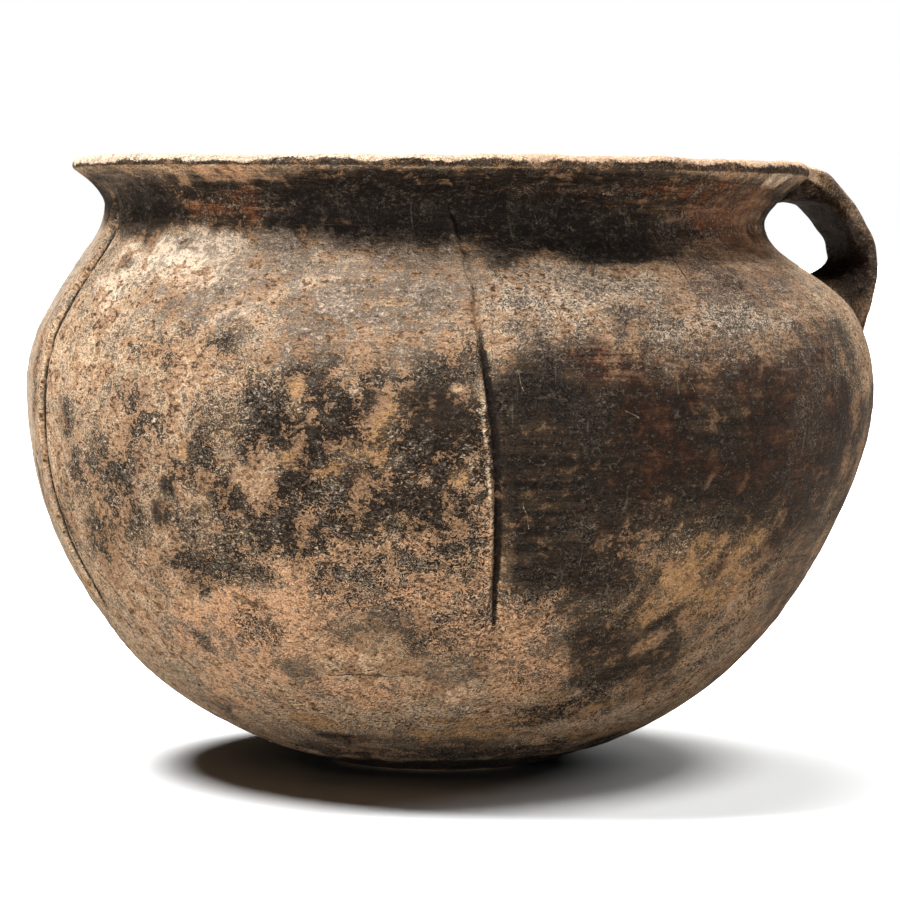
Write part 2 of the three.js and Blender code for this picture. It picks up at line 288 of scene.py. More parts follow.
OUTLINE, LIP_MIDDLE, LIP_OUT, LIP_IN = trace_outline()
OUTLINE_ALONG = lengths(OUTLINE)
OUTLINE_LENGTH = OUTLINE_ALONG[-1]
OUTLINE_HEADING = np.gradient(OUTLINE, OUTLINE_ALONG, axis=0)


def outline_at(along):
    """Radius, height and outward direction (radial, upward) of the outline at a distance along it."""
    radius, height = (np.interp(along, OUTLINE_ALONG, OUTLINE[:, i]) for i in (0, 1))
    run, rise = (np.interp(along, OUTLINE_ALONG, OUTLINE_HEADING[:, i]) for i in (0, 1))
    length = np.hypot(run, rise)
    return radius, height, rise / length, -run / length


def along_at(height):
    return np.interp(height, OUTLINE[:, 1], OUTLINE_ALONG)


def towards_lip(along, reach):
    """0 to 1 over the last stretch of the outline, which ends at the lip."""
    return smoothstep(along, OUTLINE_LENGTH - reach, OUTLINE_LENGTH)


def thickness_at(along):
    belly = along_at(BELLY_HEIGHT)
    return np.interp(along, [0, belly, OUTLINE_LENGTH], [BASE_WALL, BELLY_WALL, LIP_WALL])


def place(radius, azimuth, height, across=0.0):
    """Points in space from a radius, an azimuth and a height, and a step sideways."""
    turn = np.radians(azimuth)
    x = radius * np.sin(turn) + across * np.cos(turn)
    y = -radius * np.cos(turn) + across * np.sin(turn)
    return np.stack(np.broadcast_arrays(x, y, height), axis=-1).astype(float)


def hand_built(points):
    """The drift and dip of a jar raised by hand."""
    x, y, z = np.moveaxis(points, -1, 0)
    to_belly = smoothstep(z, PLUMB_HEIGHT, BELLY_HEIGHT)
    to_neck = smoothstep(z, NECK_HEIGHT - NECK_BEND, NECK_HEIGHT)
    to_lip = smoothstep(z, NECK_HEIGHT, JAR_HEIGHT)
    drift = (BELLY_DRIFT * to_belly * (1 - to_neck) + NECK_DRIFT * to_neck) * (1 - to_lip)
    drop = NECK_SLOPE * to_neck * (1 - to_lip) + LIP_SLOPE * to_lip
    return np.stack([x + drift, y, z - x * drop], axis=-1)


def seen(points):
    """Pixel across and down of points in the view."""
    x, y, z = np.moveaxis(points, -1, 0)
    x, y, z = x - CAMERA_SIDE, y + CAMERA_DISTANCE, z - CAMERA_HEIGHT
    depth = y * math.cos(CAMERA_PITCH) - z * math.sin(CAMERA_PITCH)
    up = z * math.cos(CAMERA_PITCH) + y * math.sin(CAMERA_PITCH)
    return PHOTO_SIZE / 2 + CAMERA_FOCAL * x / depth, PHOTO_SIZE / 2 - CAMERA_FOCAL * up / depth


# Relief of the wall


def rib_line(rib, along):
    """Azimuth of a rib at a distance along the outline, and how far down its length that is (0 to 1)."""
    top, bottom = along_at(RIB_TOP), along_at(RIB_BOTTOM)
    share = (top - along) / (top - bottom)
    sway = RIB_SWAY * math.copysign(1.0, -rib.top) * bump(share, 0.33, 0.18)
    return rib.top + (rib.bottom - rib.top) * share + np.degrees(sway / outline_at(along)[0]), share


def from_rib(rib, azimuth, along):
    """Millimetres sideways from a rib's middle line, the share of its length and its groove's depth."""
    line, share = rib_line(rib, along)
    aside = np.radians(turned(azimuth, line)) * outline_at(along)[0]
    depth = rib.groove + (GROOVE_DEPTH - rib.groove) * smoothstep(share, 0.25, 0.5)
    return aside, share, within(share, 0.02, 0.12, 0.82, 1.0) * depth


def groove_shape(aside):
    """The groove pressed in beside a rib: steep under the rib, easing out into the wall."""
    width = np.where(aside < GROOVE_ASIDE, GROOVE_STEEP_SIDE, GROOVE_EASY_SIDE)
    return bump(aside, GROOVE_ASIDE, width)


def relief(azimuth, along):
    """Millimetres by which the hand-worked outside stands out from the true outline."""
    radius, height = outline_at(along)[:2]
    points = place(radius, azimuth, height)
    lumps = swells(points, (0.75, 150, 1), (0.34, 52, 2), (0.14, 21, 3))
    streaks = place(FLOW_RADIUS, azimuth, along * WIPE_STRETCH)
    wiped = swells(streaks, (0.07, 75, 4), (0.05, 38, 5)) * (0.5 + 0.5 * waves(points, 70, 6))
    wiped = wiped * (1 + 1.5 * bump(height, NECK_HEIGHT, 14.0))
    sag = SAG_OUT * bump(turned(azimuth, SAG_AZIMUTH), 0.0, 42.0) * bump(height, SAG_HEIGHT, 24.0)
    total = np.minimum(LUMP_SHARE * lumps, HIGHEST_LUMP) + wiped + sag - PRESSED_IN
    for rib in RIBS.values():
        aside, share, depth = from_rib(rib, azimuth, along)
        bank = BANK_RISE * within(share, 0.0, 0.1, 0.75, 1.0) * bump(aside, BANK_ASIDE, BANK_WIDTH)
        total = total + bank - depth * groove_shape(aside)
    return total * smoothstep(along, 2.0, 26.0) * (1 - towards_lip(along, 14.0))


def wall_place(azimuth, along, out=0.0):
    """Points on the worked outside, or out from it, before the jar's drift."""
    radius, height, radial, upward = outline_at(along)
    stand = relief(azimuth, along) + out
    return place(radius + radial * stand, azimuth, height + upward * stand)


# Fire marks and wear


def view_lookup():
    """Places all over the side that the view shows, with the pixel at which each is seen."""
    azimuths = np.arange(-VIEW_SPREAD, VIEW_SPREAD + 1, VIEW_AZIMUTH_STEP)
    alongs = np.arange(0.0, OUTLINE_LENGTH, VIEW_ALONG_STEP)
    azimuth, along = np.meshgrid(azimuths, alongs, indexing="ij")
    radius, height, radial, upward = outline_at(along)
    points = hand_built(place(radius, azimuth, height))
    facing = place(radial, azimuth, upward)
    towards = np.array([CAMERA_SIDE, -CAMERA_DISTANCE, CAMERA_HEIGHT]) - points
    across, down = seen(points)
    hidden = (facing * towards).sum(-1) <= 0
    return azimuth, along, np.where(hidden, OUT_OF_SIGHT, across), down


VIEW = view_lookup()


def front(across, down):
    """The place on the wall that shows at a pixel of the view."""
    azimuth, along, pixel_across, pixel_down = VIEW
    nearest = np.argmin((pixel_across - across) ** 2 + (pixel_down - down) ** 2)
    return azimuth.flat[nearest], along.flat[nearest]


def side(azimuth, height):
    """A place on the wall by its azimuth and height, for what the view doesn't show."""
    return azimuth, float(along_at(height))


# A finish is what the clay looks like in one place: how much soot covers it, how pale, yellow, pink
# or red the bare clay is, how brown the dark is, how peppery, how streaked by wiping, how polished,
# how hazy with ash and how gritty it is, and how evenly the soot lies. The soot trait also carries
# painted shade: under the rim, in the grooves by the ribs, on the lip's nose and on the strap's inner face.
TRAITS = (
    "soot", "pale", "ochre", "pink", "rust", "brown",
    "pepper", "streak", "gloss", "haze", "grit", "even",
)
FINISHES = {
    "buff": (0.35, 0.35, 0.20, 0.25, 0.00, 0.60, 0.20, 0.05, 0.05, 0.00, 1.00, 0.00),
    "flecked": (0.46, 0.30, 0.35, 0.20, 0.00, 0.45, 0.30, 0.05, 0.05, 0.00, 1.00, 0.00),
    "cream": (0.20, 0.95, 0.05, 0.10, 0.00, 0.50, 0.05, 0.40, 0.00, 0.05, 0.45, 0.25),
    "grey_veil": (0.65, 0.55, 0.00, 0.05, 0.00, 0.10, 0.10, 0.70, 0.15, 0.70, 0.80, 0.35),
    "fire_cloud": (0.98, 0.20, 0.50, 0.00, 0.00, 0.25, 0.30, 0.05, 0.10, 0.05, 0.80, 0.10),
    "mottled": (0.82, 0.15, 0.62, 0.12, 0.10, 0.50, 0.35, 0.10, 0.15, 0.05, 0.80, 0.00),
    "peppered": (0.58, 0.12, 0.15, 0.75, 0.00, 0.70, 1.00, 0.05, 0.05, 0.00, 0.80, 0.00),
    "pink": (0.30, 0.25, 0.15, 0.85, 0.00, 0.70, 0.50, 0.15, 0.05, 0.00, 0.55, 0.10),
    "grainy": (0.62, 0.75, 0.05, 0.22, 0.15, 0.60, 0.70, 0.40, 0.10, 0.10, 1.00, 0.30),
    "burnished": (1.04, 0.05, 0.25, 0.15, 0.75, 1.00, 0.12, 0.25, 0.80, 0.00, 0.35, 0.95),
    "black": (1.06, 0.15, 0.25, 0.10, 0.00, 0.30, 0.20, 0.30, 0.40, 0.00, 0.40, 0.75),
    "tanned": (0.62, 0.40, 0.08, 0.36, 0.45, 0.90, 0.40, 0.45, 0.35, 0.15, 0.75, 0.45),
    "dull_brown": (0.74, 0.10, 0.30, 0.25, 0.10, 0.90, 0.10, 0.50, 0.20, 0.20, 0.40, 0.60),
    "ochre": (0.36, 0.05, 1.00, 0.00, 0.00, 0.80, 0.25, 0.30, 0.20, 0.05, 0.45, 0.30),
    "rusty": (0.76, 0.00, 0.10, 0.20, 0.95, 0.95, 0.40, 0.90, 0.10, 0.00, 0.60, 0.60),
    "soot_and_shade": (1.30, 0.00, 0.20, 0.00, 0.40, 0.35, 0.10, 0.60, 0.20, 0.00, 0.30, 0.80),
    "orange": (0.36, 0.00, 0.30, 0.80, 0.40, 0.80, 0.05, 0.40, 0.10, 0.00, 0.20, 0.60),
    "smooth_grey": (0.44, 0.75, 0.00, 0.15, 0.00, 0.12, 0.03, 0.35, 0.10, 0.50, 0.15, 0.95),
    "russet": (0.50, 0.15, 0.05, 0.45, 0.65, 0.95, 0.10, 0.45, 0.30, 0.05, 0.35, 0.75),
    "clean": (0.06, 0.10, 0.40, 0.80, 0.00, 0.60, 0.05, 0.15, 0.05, 0.00, 0.20, 0.40),
}
ALL_ROUND = 2000.0

# Each mark: its finish, place, half width and half height in millimetres, turn in degrees and weight
# Out of the view
HIDDEN_SIDE_MARKS = [
    ("burnished", side(110, 130), (120, 70), 0, 0.9),
    ("mottled", side(165, 130), (90, 80), 0, 0.8),
    ("fire_cloud", side(190, 100), (60, 40), 10, 0.8),
    ("black", side(150, 70), (60, 34), 0, 0.8),
    ("peppered", side(225, 95), (90, 40), 0, 0.9),
    ("ochre", side(172, 165), (30, 20), 20, 0.8),
    ("grey_veil", side(205, 205), (110, 22), 0, 0.8),
    ("fire_cloud", side(240, 160), (44, 36), 0, 0.8),
    ("tanned", side(130, 215), (90, 20), 0, 0.9),
    ("mottled", side(180, 12), (300, 12), 0, 0.7),
]
# Right of the front rib: the grainy shoulder over a burnished dark belly
RIGHT_SIDE_MARKS = [
    ("grainy", front(600, 285), (70, 32), 0, 1.0),
    ("tanned", front(770, 310), (70, 36), 0, 1.0),
    ("burnished", front(640, 448), (96, 45), 0, 1.0),
    ("burnished", front(800, 462), (60, 52), 0, 1.0),
    ("black", front(525, 500), (20, 52), 0, 0.95),
    ("black", front(560, 440), (26, 26), 0, 0.6),
    ("black", front(548, 388), (18, 8), 0, 0.9),
    ("rusty", front(612, 360), (22, 8), 0, 0.45),
    ("tanned", front(722, 398), (12, 5), -20, 0.35),
    ("black", front(720, 428), (16, 11), 0, 0.8),
    ("mottled", front(695, 580), (54, 34), 12, 0.6),
    ("ochre", front(684, 585), (42, 25), 12, 0.7),
    ("ochre", front(730, 575), (22, 20), 30, 0.55),
    ("dull_brown", front(800, 560), (20, 34), 25, 0.9),
    ("dull_brown", front(760, 640), (30, 40), 35, 0.9),
    ("black", front(575, 580), (26, 38), 12, 0.85),
    ("black", front(600, 660), (30, 24), 25, 0.65),
    ("black", front(655, 655), (26, 16), 30, 0.7),
    ("black", front(640, 598), (3.5, 14), -25, 0.8),
    ("black", front(664, 622), (4, 12), -50, 0.8),
    ("black", front(725, 560), (5, 8), -20, 0.6),
    ("fire_cloud", front(620, 560), (10, 14), 0, 0.5),
    ("ochre", front(644, 646), (8, 4), 25, 0.6),
    ("ochre", front(506, 562), (4, 22), 0, 0.4),
    ("peppered", front(524, 648), (16, 28), 12, 1.0),
    ("pink", front(522, 650), (12, 22), 12, 0.6),
    ("pink", front(515, 690), (18, 16), 0, 0.7),
    ("mottled", front(560, 712), (26, 12), 15, 0.8),
    ("ochre", front(555, 695), (10, 3), 10, 0.7),
    ("ochre", front(598, 706), (9, 4), 15, 0.7),
    ("ochre", front(580, 738), (26, 8), 12, 0.75),
]
LEFT_SHOULDER_MARKS = [
    ("grey_veil", front(365, 290), (62, 30), 0, 1.0),
    ("grey_veil", front(300, 262), (52, 26), 10, 0.9),
    ("grey_veil", front(400, 250), (48, 20), 0, 0.9),
    ("grey_veil", front(268, 262), (22, 18), 30, 0.9),
    ("grey_veil", front(440, 300), (18, 40), 0, 0.9),
    ("tanned", front(455, 345), (18, 16), 0, 0.8),
    ("mottled", front(430, 360), (18, 12), 0, 0.5),
    ("cream", front(200, 250), (52, 16), -5, 0.85),
    ("cream", front(175, 272), (28, 10), -10, 0.35),
    ("cream", front(108, 286), (13, 9), -40, 0.6),
    ("rusty", front(146, 236), (9, 5), -20, 0.6),
    ("fire_cloud", front(124, 260), (7, 5), -30, 0.6),
    ("grey_veil", front(185, 310), (20, 8), 10, 0.7),
    ("grey_veil", front(215, 292), (52, 20), 0, 0.3),
    ("clean", front(243, 318), (11, 10), 40, 0.7),
    ("clean", front(252, 342), (9, 8), 20, 0.6),
]
# Buff with dark clusters
LEFT_BELLY_MARKS = [
    ("flecked", front(105, 470), (36, 44), -25, 0.9),
    ("flecked", front(150, 410), (34, 18), 0, 0.7),
    ("flecked", front(195, 485), (36, 28), 0, 0.9),
    ("flecked", front(238, 425), (18, 40), 0, 0.8),
    ("flecked", front(160, 350), (28, 10), 0, 0.5),
    ("fire_cloud", front(139, 347), (7, 5), 0, 0.56),
    ("fire_cloud", front(160, 342), (5, 5), 0, 0.56),
    ("fire_cloud", front(168, 361), (7, 5), 0, 0.56),
    ("fire_cloud", front(223, 345), (12, 7), -20, 0.6),
    ("fire_cloud", front(246, 360), (7, 7), 0, 0.6),
    ("rusty", front(142, 390), (17, 7), 0, 0.55),
    ("mottled", front(134, 420), (8, 11), 0, 0.52),
    ("mottled", front(148, 430), (9, 8), 0, 0.52),
    ("fire_cloud", front(65, 421), (9, 7), 0, 0.52),
    ("mottled", front(75, 460), (10, 12), 0, 0.8),
    ("mottled", front(100, 470), (16, 16), -30, 0.6),
    ("fire_cloud", front(124, 468), (8, 7), 0, 0.52),
    ("fire_cloud", front(121, 487), (7, 5), 0, 0.52),
    ("mottled", front(111, 505), (11, 15), -20, 0.68),
    ("black", front(169, 490), (4.5, 4.5), 0, 1),
    ("black", front(160, 515), (5, 6.5), -15, 1),
    ("fire_cloud", front(140, 522), (5, 8), 0, 0.6),
    ("fire_cloud", front(200, 487), (18, 9), -25, 0.64),
    ("fire_cloud", front(233, 500), (8, 9), 0, 0.6),
    ("mottled", front(210, 413), (5, 12), 0, 0.52),
    ("cream", front(190, 412), (9, 16), -10, 0.2),
    ("ochre", front(186, 450), (4, 5), 0, 0.8),
    ("clean", front(202, 506), (6, 7), 0, 0.55),
    ("clean", front(247, 478), (7, 6), 0, 0.55),
    ("ochre", front(105, 545), (20, 16), -40, 0.6),
    ("ochre", front(155, 560), (16, 12), -40, 0.5),
]
# Left of the front rib
FIRE_CLOUD_MARKS = [
    ("mottled", front(335, 440), (62, 46), 0, 0.9),
    ("fire_cloud", front(300, 425), (30, 26), 0, 0.5),
    ("mottled", front(435, 480), (34, 44), 0, 1.0),
    ("mottled", front(335, 532), (70, 16), 0, 0.7),
    ("fire_cloud", front(273, 389), (8, 7), 0, 1.0),
    ("fire_cloud", front(317, 390), (8, 6), 0, 1.0),
    ("fire_cloud", front(338, 418), (10, 9), 0, 1.0),
    ("fire_cloud", front(268, 426), (11, 8), 0, 0.95),
    ("fire_cloud", front(320, 450), (11, 10), 0, 1.0),
    ("fire_cloud", front(290, 455), (8, 12), 0, 0.7),
    ("black", front(375, 402), (5, 5), 0, 1.0),
    ("black", front(428, 412), (16, 12), 0, 0.95),
    ("fire_cloud", front(438, 450), (16, 12), 0, 0.9),
    ("fire_cloud", front(440, 515), (15, 20), 0, 0.55),
    ("black", front(400, 503), (6, 5), 0, 1.0),
    ("fire_cloud", front(365, 487), (8, 4), 0, 0.7),
    ("fire_cloud", front(348, 511), (16, 5), 0, 0.85),
    ("fire_cloud", front(231, 497), (6, 5), 0, 0.8),
    ("fire_cloud", front(278, 491), (5, 4), 0, 0.8),
    ("fire_cloud", front(290, 520), (18, 6), -10, 0.8),
    ("ochre", front(294, 398), (4, 8), 0, 0.85),
    ("ochre", front(382, 420), (8, 9), 35, 0.75),
    ("ochre", front(366, 466), (11, 11), 10, 0.75),
    ("ochre", front(345, 470), (7, 6), 0, 0.7),
    ("ochre", front(287, 457), (4, 4), 0, 0.8),
    ("ochre", front(318, 474), (4, 2.5), 0, 0.8),
    ("clean", front(255, 485), (8, 7), 0, 0.5),
    ("ochre", front(417, 488), (5, 6), 0, 0.8),
    ("ochre", front(461, 481), (5, 5), 0, 0.8),
    ("ochre", front(360, 520), (20, 5), 0, 0.6),
    ("clean", front(456, 389), (3, 2), 0, 0.8),
    ("cream", front(356, 390), (2.4, 2.2), 0, 0.6),
    ("cream", front(330, 405), (2.2, 2), 0, 0.5),
]
# Peppered
LOWER_WALL_MARKS = [
    ("peppered", front(380, 590), (84, 36), 0, 1),
    ("peppered", front(450, 600), (22, 40), 0, 0.9),
    ("pink", front(250, 640), (50, 44), -30, 0.7),
    ("pink", front(275, 592), (11, 10), -30, 0.8),
    ("pink", front(192, 640), (10, 16), -40, 0.9),
    ("pink", front(225, 697), (14, 14), -40, 0.9),
    ("mottled", front(230, 557), (12, 11), 0, 0.68),
    ("mottled", front(258, 576), (11, 5), 0, 0.68),
    ("peppered", front(255, 630), (12, 12), 0, 0.9),
    ("fire_cloud", front(206, 645), (5, 5), 0, 0.45),
    ("fire_cloud", front(336, 582), (12, 9), 0, 0.45),
    ("fire_cloud", front(418, 568), (24, 11), 0, 0.41),
    ("fire_cloud", front(422, 634), (9, 12), 0, 0.45),
    ("dull_brown", front(368, 630), (26, 11), 0, 0.65),
    ("dull_brown", front(303, 675), (10, 11), 0, 0.75),
    ("dull_brown", front(440, 676), (26, 16), 0, 0.65),
    ("pink", front(375, 695), (26, 10), 0, 0.7),
    ("fire_cloud", front(280, 698), (5, 7), 0, 0.45),
    ("cream", front(453, 697), (5, 4.5), 0, 0.95),
    ("clean", front(453, 697), (8, 6), 0, 0.5),
    ("mottled", front(450, 756), (150, 13), 0, 0.9),
    ("dull_brown", front(390, 745), (60, 14), 0, 0.8),
    ("ochre", front(312, 722), (16, 7), -8, 0.8),
    ("black", front(342, 738), (14, 4), -5, 0.8),
    ("ochre", front(472, 723), (20, 3), 0, 0.9),
    ("ochre", front(470, 738), (26, 6), 0, 1),
    ("soot_and_shade", front(440, 766), (130, 8), 0, 0.8),
]
# Left of the left rib
LEFT_EDGE_MARKS = [
    ("smooth_grey", side(-80, 226), (22, 24), 0, 1.0),
    ("smooth_grey", side(-84, 215), (34, 30), 0, 1.0),
    ("smooth_grey", side(-80, 165), (26, 44), 0, 1.0),
    ("smooth_grey", side(-82, 110), (26, 44), 0, 1.0),
    ("mottled", front(36, 360), (5, 16), 0, 0.7),
    ("mottled", front(33, 400), (5, 14), 0, 0.6),
    ("mottled", front(38, 470), (4, 12), 0, 0.4),
]
# Soot round the neck, with painted shade: the dark marks under the rim also stand for the rim's shadow on
# the neck
NECK_AND_RIM_MARKS = [
    ("soot_and_shade", side(0, NECK_HEIGHT + 6.0), (ALL_ROUND, 13), 0, 0.85),
    ("soot_and_shade", front(400, 214), (70, 12), 0, 1.0),
    ("soot_and_shade", front(530, 218), (40, 10), -6, 0.75),
    ("soot_and_shade", front(470, 206), (60, 14), 0, 0.8),
    ("tanned", front(745, 248), (46, 34), 0, 0.95),
    ("russet", front(715, 236), (56, 22), 0, 0.9),
    ("russet", front(735, 205), (44, 14), 0, 0.8),
    ("grainy", front(735, 262), (30, 10), 0, 0.4),
    ("ochre", front(556, 255), (9, 5), -30, 0.5),
    ("rusty", front(635, 240), (14, 9), -20, 0.7),
    ("rusty", front(700, 231), (14, 5), 0, 0.7),
    ("rusty", front(756, 236), (10, 5), 0, 0.8),
    ("rusty", front(731, 281), (6, 5), 0, 0.5),
    ("dull_brown", front(430, 171), (110, 4), 0, 0.4),
    ("rusty", front(640, 188), (66, 8), 0, 0.75),
    ("tanned", front(756, 211), (6, 4), 0, 0.9),
    ("dull_brown", front(130, 190), (38, 18), 0, 0.85),
    ("mottled", front(168, 192), (14, 6), 0, 0.5),
    ("orange", front(228, 173), (29, 8), 0, 1.0),
    ("rusty", front(238, 203), (29, 7), 0, 0.9),
    ("soot_and_shade", front(385, 205), (46, 11), 0, 1.0),
    ("buff", front(147, 177), (18, 3.5), 0, 0.6),
]
# Laid over the others, in all these areas
LAST_TOUCHES = [
    ("flecked", front(250, 364), (24, 14), 20, 0.85),
    ("flecked", front(222, 415), (12, 16), 0, 0.6),
    ("grainy", front(735, 328), (48, 9), 3, 0.85),
    ("tanned", front(745, 350), (50, 9), 4, 0.8),
    ("grey_veil", front(415, 338), (16, 12), 0, 0.6),
    ("fire_cloud", front(400, 505), (28, 9), 0, 0.85),
    ("fire_cloud", front(188, 573), (15, 12), 0, 0.7),
    ("mottled", front(100, 545), (12, 16), 0, 0.8),
    ("black", front(692, 500), (12, 9), 0, 0.7),
    # Painted shade: the rim's shadow on the neck and the dark line under the lip, laid on in the soot finish
    ("soot_and_shade", front(145, 208), (30, 13), 0, 0.8),
    ("soot_and_shade", front(590, 238), (46, 13), 6, 0.9),
    ("soot_and_shade", front(630, 254), (26, 6), 6, 0.7),
    ("soot_and_shade", front(440, 176), (92, 6), 0, 0.7),
    ("cream", front(784, 172), (14, 6), 0, 1.0),
    ("grey_veil", front(272, 256), (22, 13), 10, 0.85),
    ("mottled", front(66, 525), (8, 14), 0, 0.6),
    ("fire_cloud", front(460, 415), (8, 16), 0, 0.5),
    ("fire_cloud", front(452, 525), (12, 9), 0, 0.6),
    ("buff", front(190, 668), (18, 12), 30, 0.6),
    ("grey_veil", front(345, 322), (38, 20), 0, 0.85),
    ("buff", front(262, 332), (8, 17), -20, 0.7),
    ("cream", front(232, 312), (14, 7), 20, 0.4),
    ("grey_veil", front(250, 286), (12, 8), 0, 0.7),
    ("grey_veil", front(312, 348), (14, 7), 0, 0.6),
    ("fire_cloud", front(372, 488), (14, 12), 0, 0.6),
    ("mottled", front(222, 708), (12, 7), 35, 0.6),
    ("mottled", front(68, 512), (9, 16), 0, 0.5),
    ("tanned", front(520, 324), (14, 8), 0, 0.6),
    # Painted sheen: a paler band along the right edge of the belly
    ("tanned", front(815, 425), (20, 38), 0, 0.4),
    ("ochre", front(642, 590), (9, 7), 30, 0.5),
    ("fire_cloud", front(322, 532), (20, 8), 0, 0.6),
    ("mottled", front(130, 440), (10, 14), 0, 0.5),
    ("mottled", front(105, 550), (14, 12), 0, 0.5),
    ("buff", front(132, 350), (16, 12), 0, 0.5),
    ("grainy", front(736, 318), (26, 7), 0, 0.7),
    # Painted shade round the foot's edge, just above the floor, laid on in the soot finish
    ("soot_and_shade", side(0, 3.0), (ALL_ROUND, 9), 0, 0.9),
    ("buff", front(74, 410), (8, 14), 0, 0.6),
    ("fire_cloud", front(300, 540), (17, 10), 0, 0.6),
    ("mottled", front(382, 432), (9, 12), 0, 0.4),
    ("black", front(748, 514), (16, 11), 0, 0.5),
    ("black", front(640, 692), (20, 10), 30, 0.5),
    ("black", front(846, 340), (8, 14), 0, 0.5),
    # Painted shade under the lip
    ("soot_and_shade", front(600, 173), (40, 5), 0, 0.55),
    ("mottled", front(40, 480), (5, 16), 0, 0.5),
    ("tanned", side(150, NECK_HEIGHT + 10), (60, 7), 0, 0.8),
    ("rusty", side(215, NECK_HEIGHT + 8), (50, 7), 0, 0.8),
]
MARKS = [
    *HIDDEN_SIDE_MARKS,
    *RIGHT_SIDE_MARKS,
    *LEFT_SHOULDER_MARKS,
    *LEFT_BELLY_MARKS,
    *FIRE_CLOUD_MARKS,
    *LOWER_WALL_MARKS,
    *LEFT_EDGE_MARKS,
    *NECK_AND_RIM_MARKS,
    *LAST_TOUCHES,
]
MARK_REACH = 1.8
MARK_CORE, MARK_EDGE = 0.35, 1.45
MARK_SWELL_SEED, MARK_RIPPLE_SEED = 200, 400
MARK_WAVES = 14


def beside_ribs(ribs, near, mark_azimuth, mark_along):
    """A mark stays on its own side of the grooves along the ribs: 1 there, 0 beyond a groove."""
    keep = 1.0
    for rib, (aside, share, _) in ribs:
        own_side = np.sign(from_rib(rib, mark_azimuth, mark_along)[0] - GROOVE_ASIDE)
        split = within(share[near], 0.12, 0.28, 0.9, 1.0)
        beyond = smoothstep(own_side * (GROOVE_ASIDE - aside[near]), -1.5, 1.5)
        keep = keep * (1 - split * beyond * (1 - smoothstep(np.abs(aside[near]), 150.0, 220.0)))
    return keep


def finish_at(azimuth, along):
    """The traits of the clay at places on the wall: each mark lies, ragged, over those before it."""
    radius, height = outline_at(along)[:2]
    points = place(radius, azimuth, height)
    ribs = [(rib, from_rib(rib, azimuth, along)) for rib in RIBS.values()]
    traits = np.tile(np.array(FINISHES["buff"]), (*np.shape(along), 1))
    for number, (finish, (mark_azimuth, mark_along), size, turn, weight) in enumerate(MARKS):
        look = np.array(FINISHES[finish])
        across = np.radians(turned(azimuth, mark_azimuth)) * float(outline_at(mark_along)[0])
        up = along - mark_along
        reach = MARK_REACH * max(size)
        near = (np.abs(across) < reach) & (np.abs(up) < reach)
        if not near.any():
            continue
        grit = 2.5 + 0.8 * min(min(size), 14.0)
        swell = waves(points[near], 2.2 * grit, MARK_SWELL_SEED + number, MARK_WAVES)
        ripple = waves(points[near], grit, MARK_RIPPLE_SEED + number, MARK_WAVES)
        ragged = (0.24 * swell + 0.17 * ripple) * (1 - 0.7 * look[TRAITS.index("even")])
        cos, sin = math.cos(math.radians(turn)), math.sin(math.radians(turn))
        lengthwise = (across[near] * cos + up[near] * sin) / size[0]
        crosswise = (up[near] * cos - across[near] * sin) / size[1]
        from_middle = np.hypot(lengthwise, crosswise) + ragged
        cover = weight * (1.0 - smoothstep(from_middle, MARK_CORE, MARK_EDGE))
        if size[0] < ALL_ROUND:
            cover = cover * beside_ribs(ribs, near, mark_azimuth, mark_along)
        traits[near] += cover[..., None] * (look - traits[near])
    return {name: traits[..., k] for k, name in enumerate(TRAITS)}


def plain_finish(finish, shape):
    """The traits of one finish, the same all over."""
    return {trait: np.full(shape, value) for trait, value in zip(TRAITS, FINISHES[finish])}


def wall_paint(azimuth, along):
    """The attributes that the clay materials read, at places on the wall."""
    values = finish_at(azimuth, along)
    for rib in RIBS.values():
        aside, share, depth = from_rib(rib, azimuth, along)
        wide = 0.76 + 0.24 * within(share, 0.25, 0.45, 0.72, 0.9)
        groove = smoothstep(aside, 3.8, 5.2) * (1 - smoothstep(aside / wide, 7.2, 10.6))
        # Painted shade in the groove beside each rib, laid on as soot, with its pale, hazy and gritty looks
        # taken out
        dark = rib.soot * np.clip(depth - 0.25, 0, 1) * groove
        values["soot"] = np.maximum(values["soot"], 1.2 * dark)
        values["even"] = np.maximum(values["even"], 0.5 * dark)
        for light in ("pale", "haze", "grit"):
            values[light] = values[light] * (1 - 0.8 * dark)
    values["flow"] = place(FLOW_RADIUS, azimuth, along) * MM
    values["wear_and_highlight"] = np.zeros_like(along)
    return values


def flat_paint(paint):
    """Painted attributes as one value, or one vector, for each point of a mesh."""
    return {key: value.reshape(-1, 3) if key == "flow" else value.ravel() for key, value in paint.items()}


# Meshes


def write_attributes(mesh, values):
    for name, value in values.items():
        flat = np.ascontiguousarray(value, dtype=np.float32)
        is_vector = flat.ndim > 1 and flat.shape[-1] == 3
        layer = mesh.attributes.new(name, "FLOAT_VECTOR" if is_vector else "FLOAT", "POINT")
        layer.data.foreach_set("vector" if is_vector else "value", flat.ravel())


def make_mesh(name, points, faces, attributes, normals=None, edges=()):
    """A smooth mesh object from points in millimetres, before the jar's drift, and its faces."""
    mesh = bpy.data.meshes.new(name)
    mesh.from_pydata((hand_built(points) * MM).tolist(), list(edges), faces)
    mesh.shade_smooth()
    write_attributes(mesh, attributes)
    if normals is not None:
        mesh.normals_split_custom_set_from_vertices(normals.tolist())
    mesh.validate()
    piece = bpy.data.objects.new(name, mesh)
    bpy.context.scene.collection.objects.link(piece)
    return piece


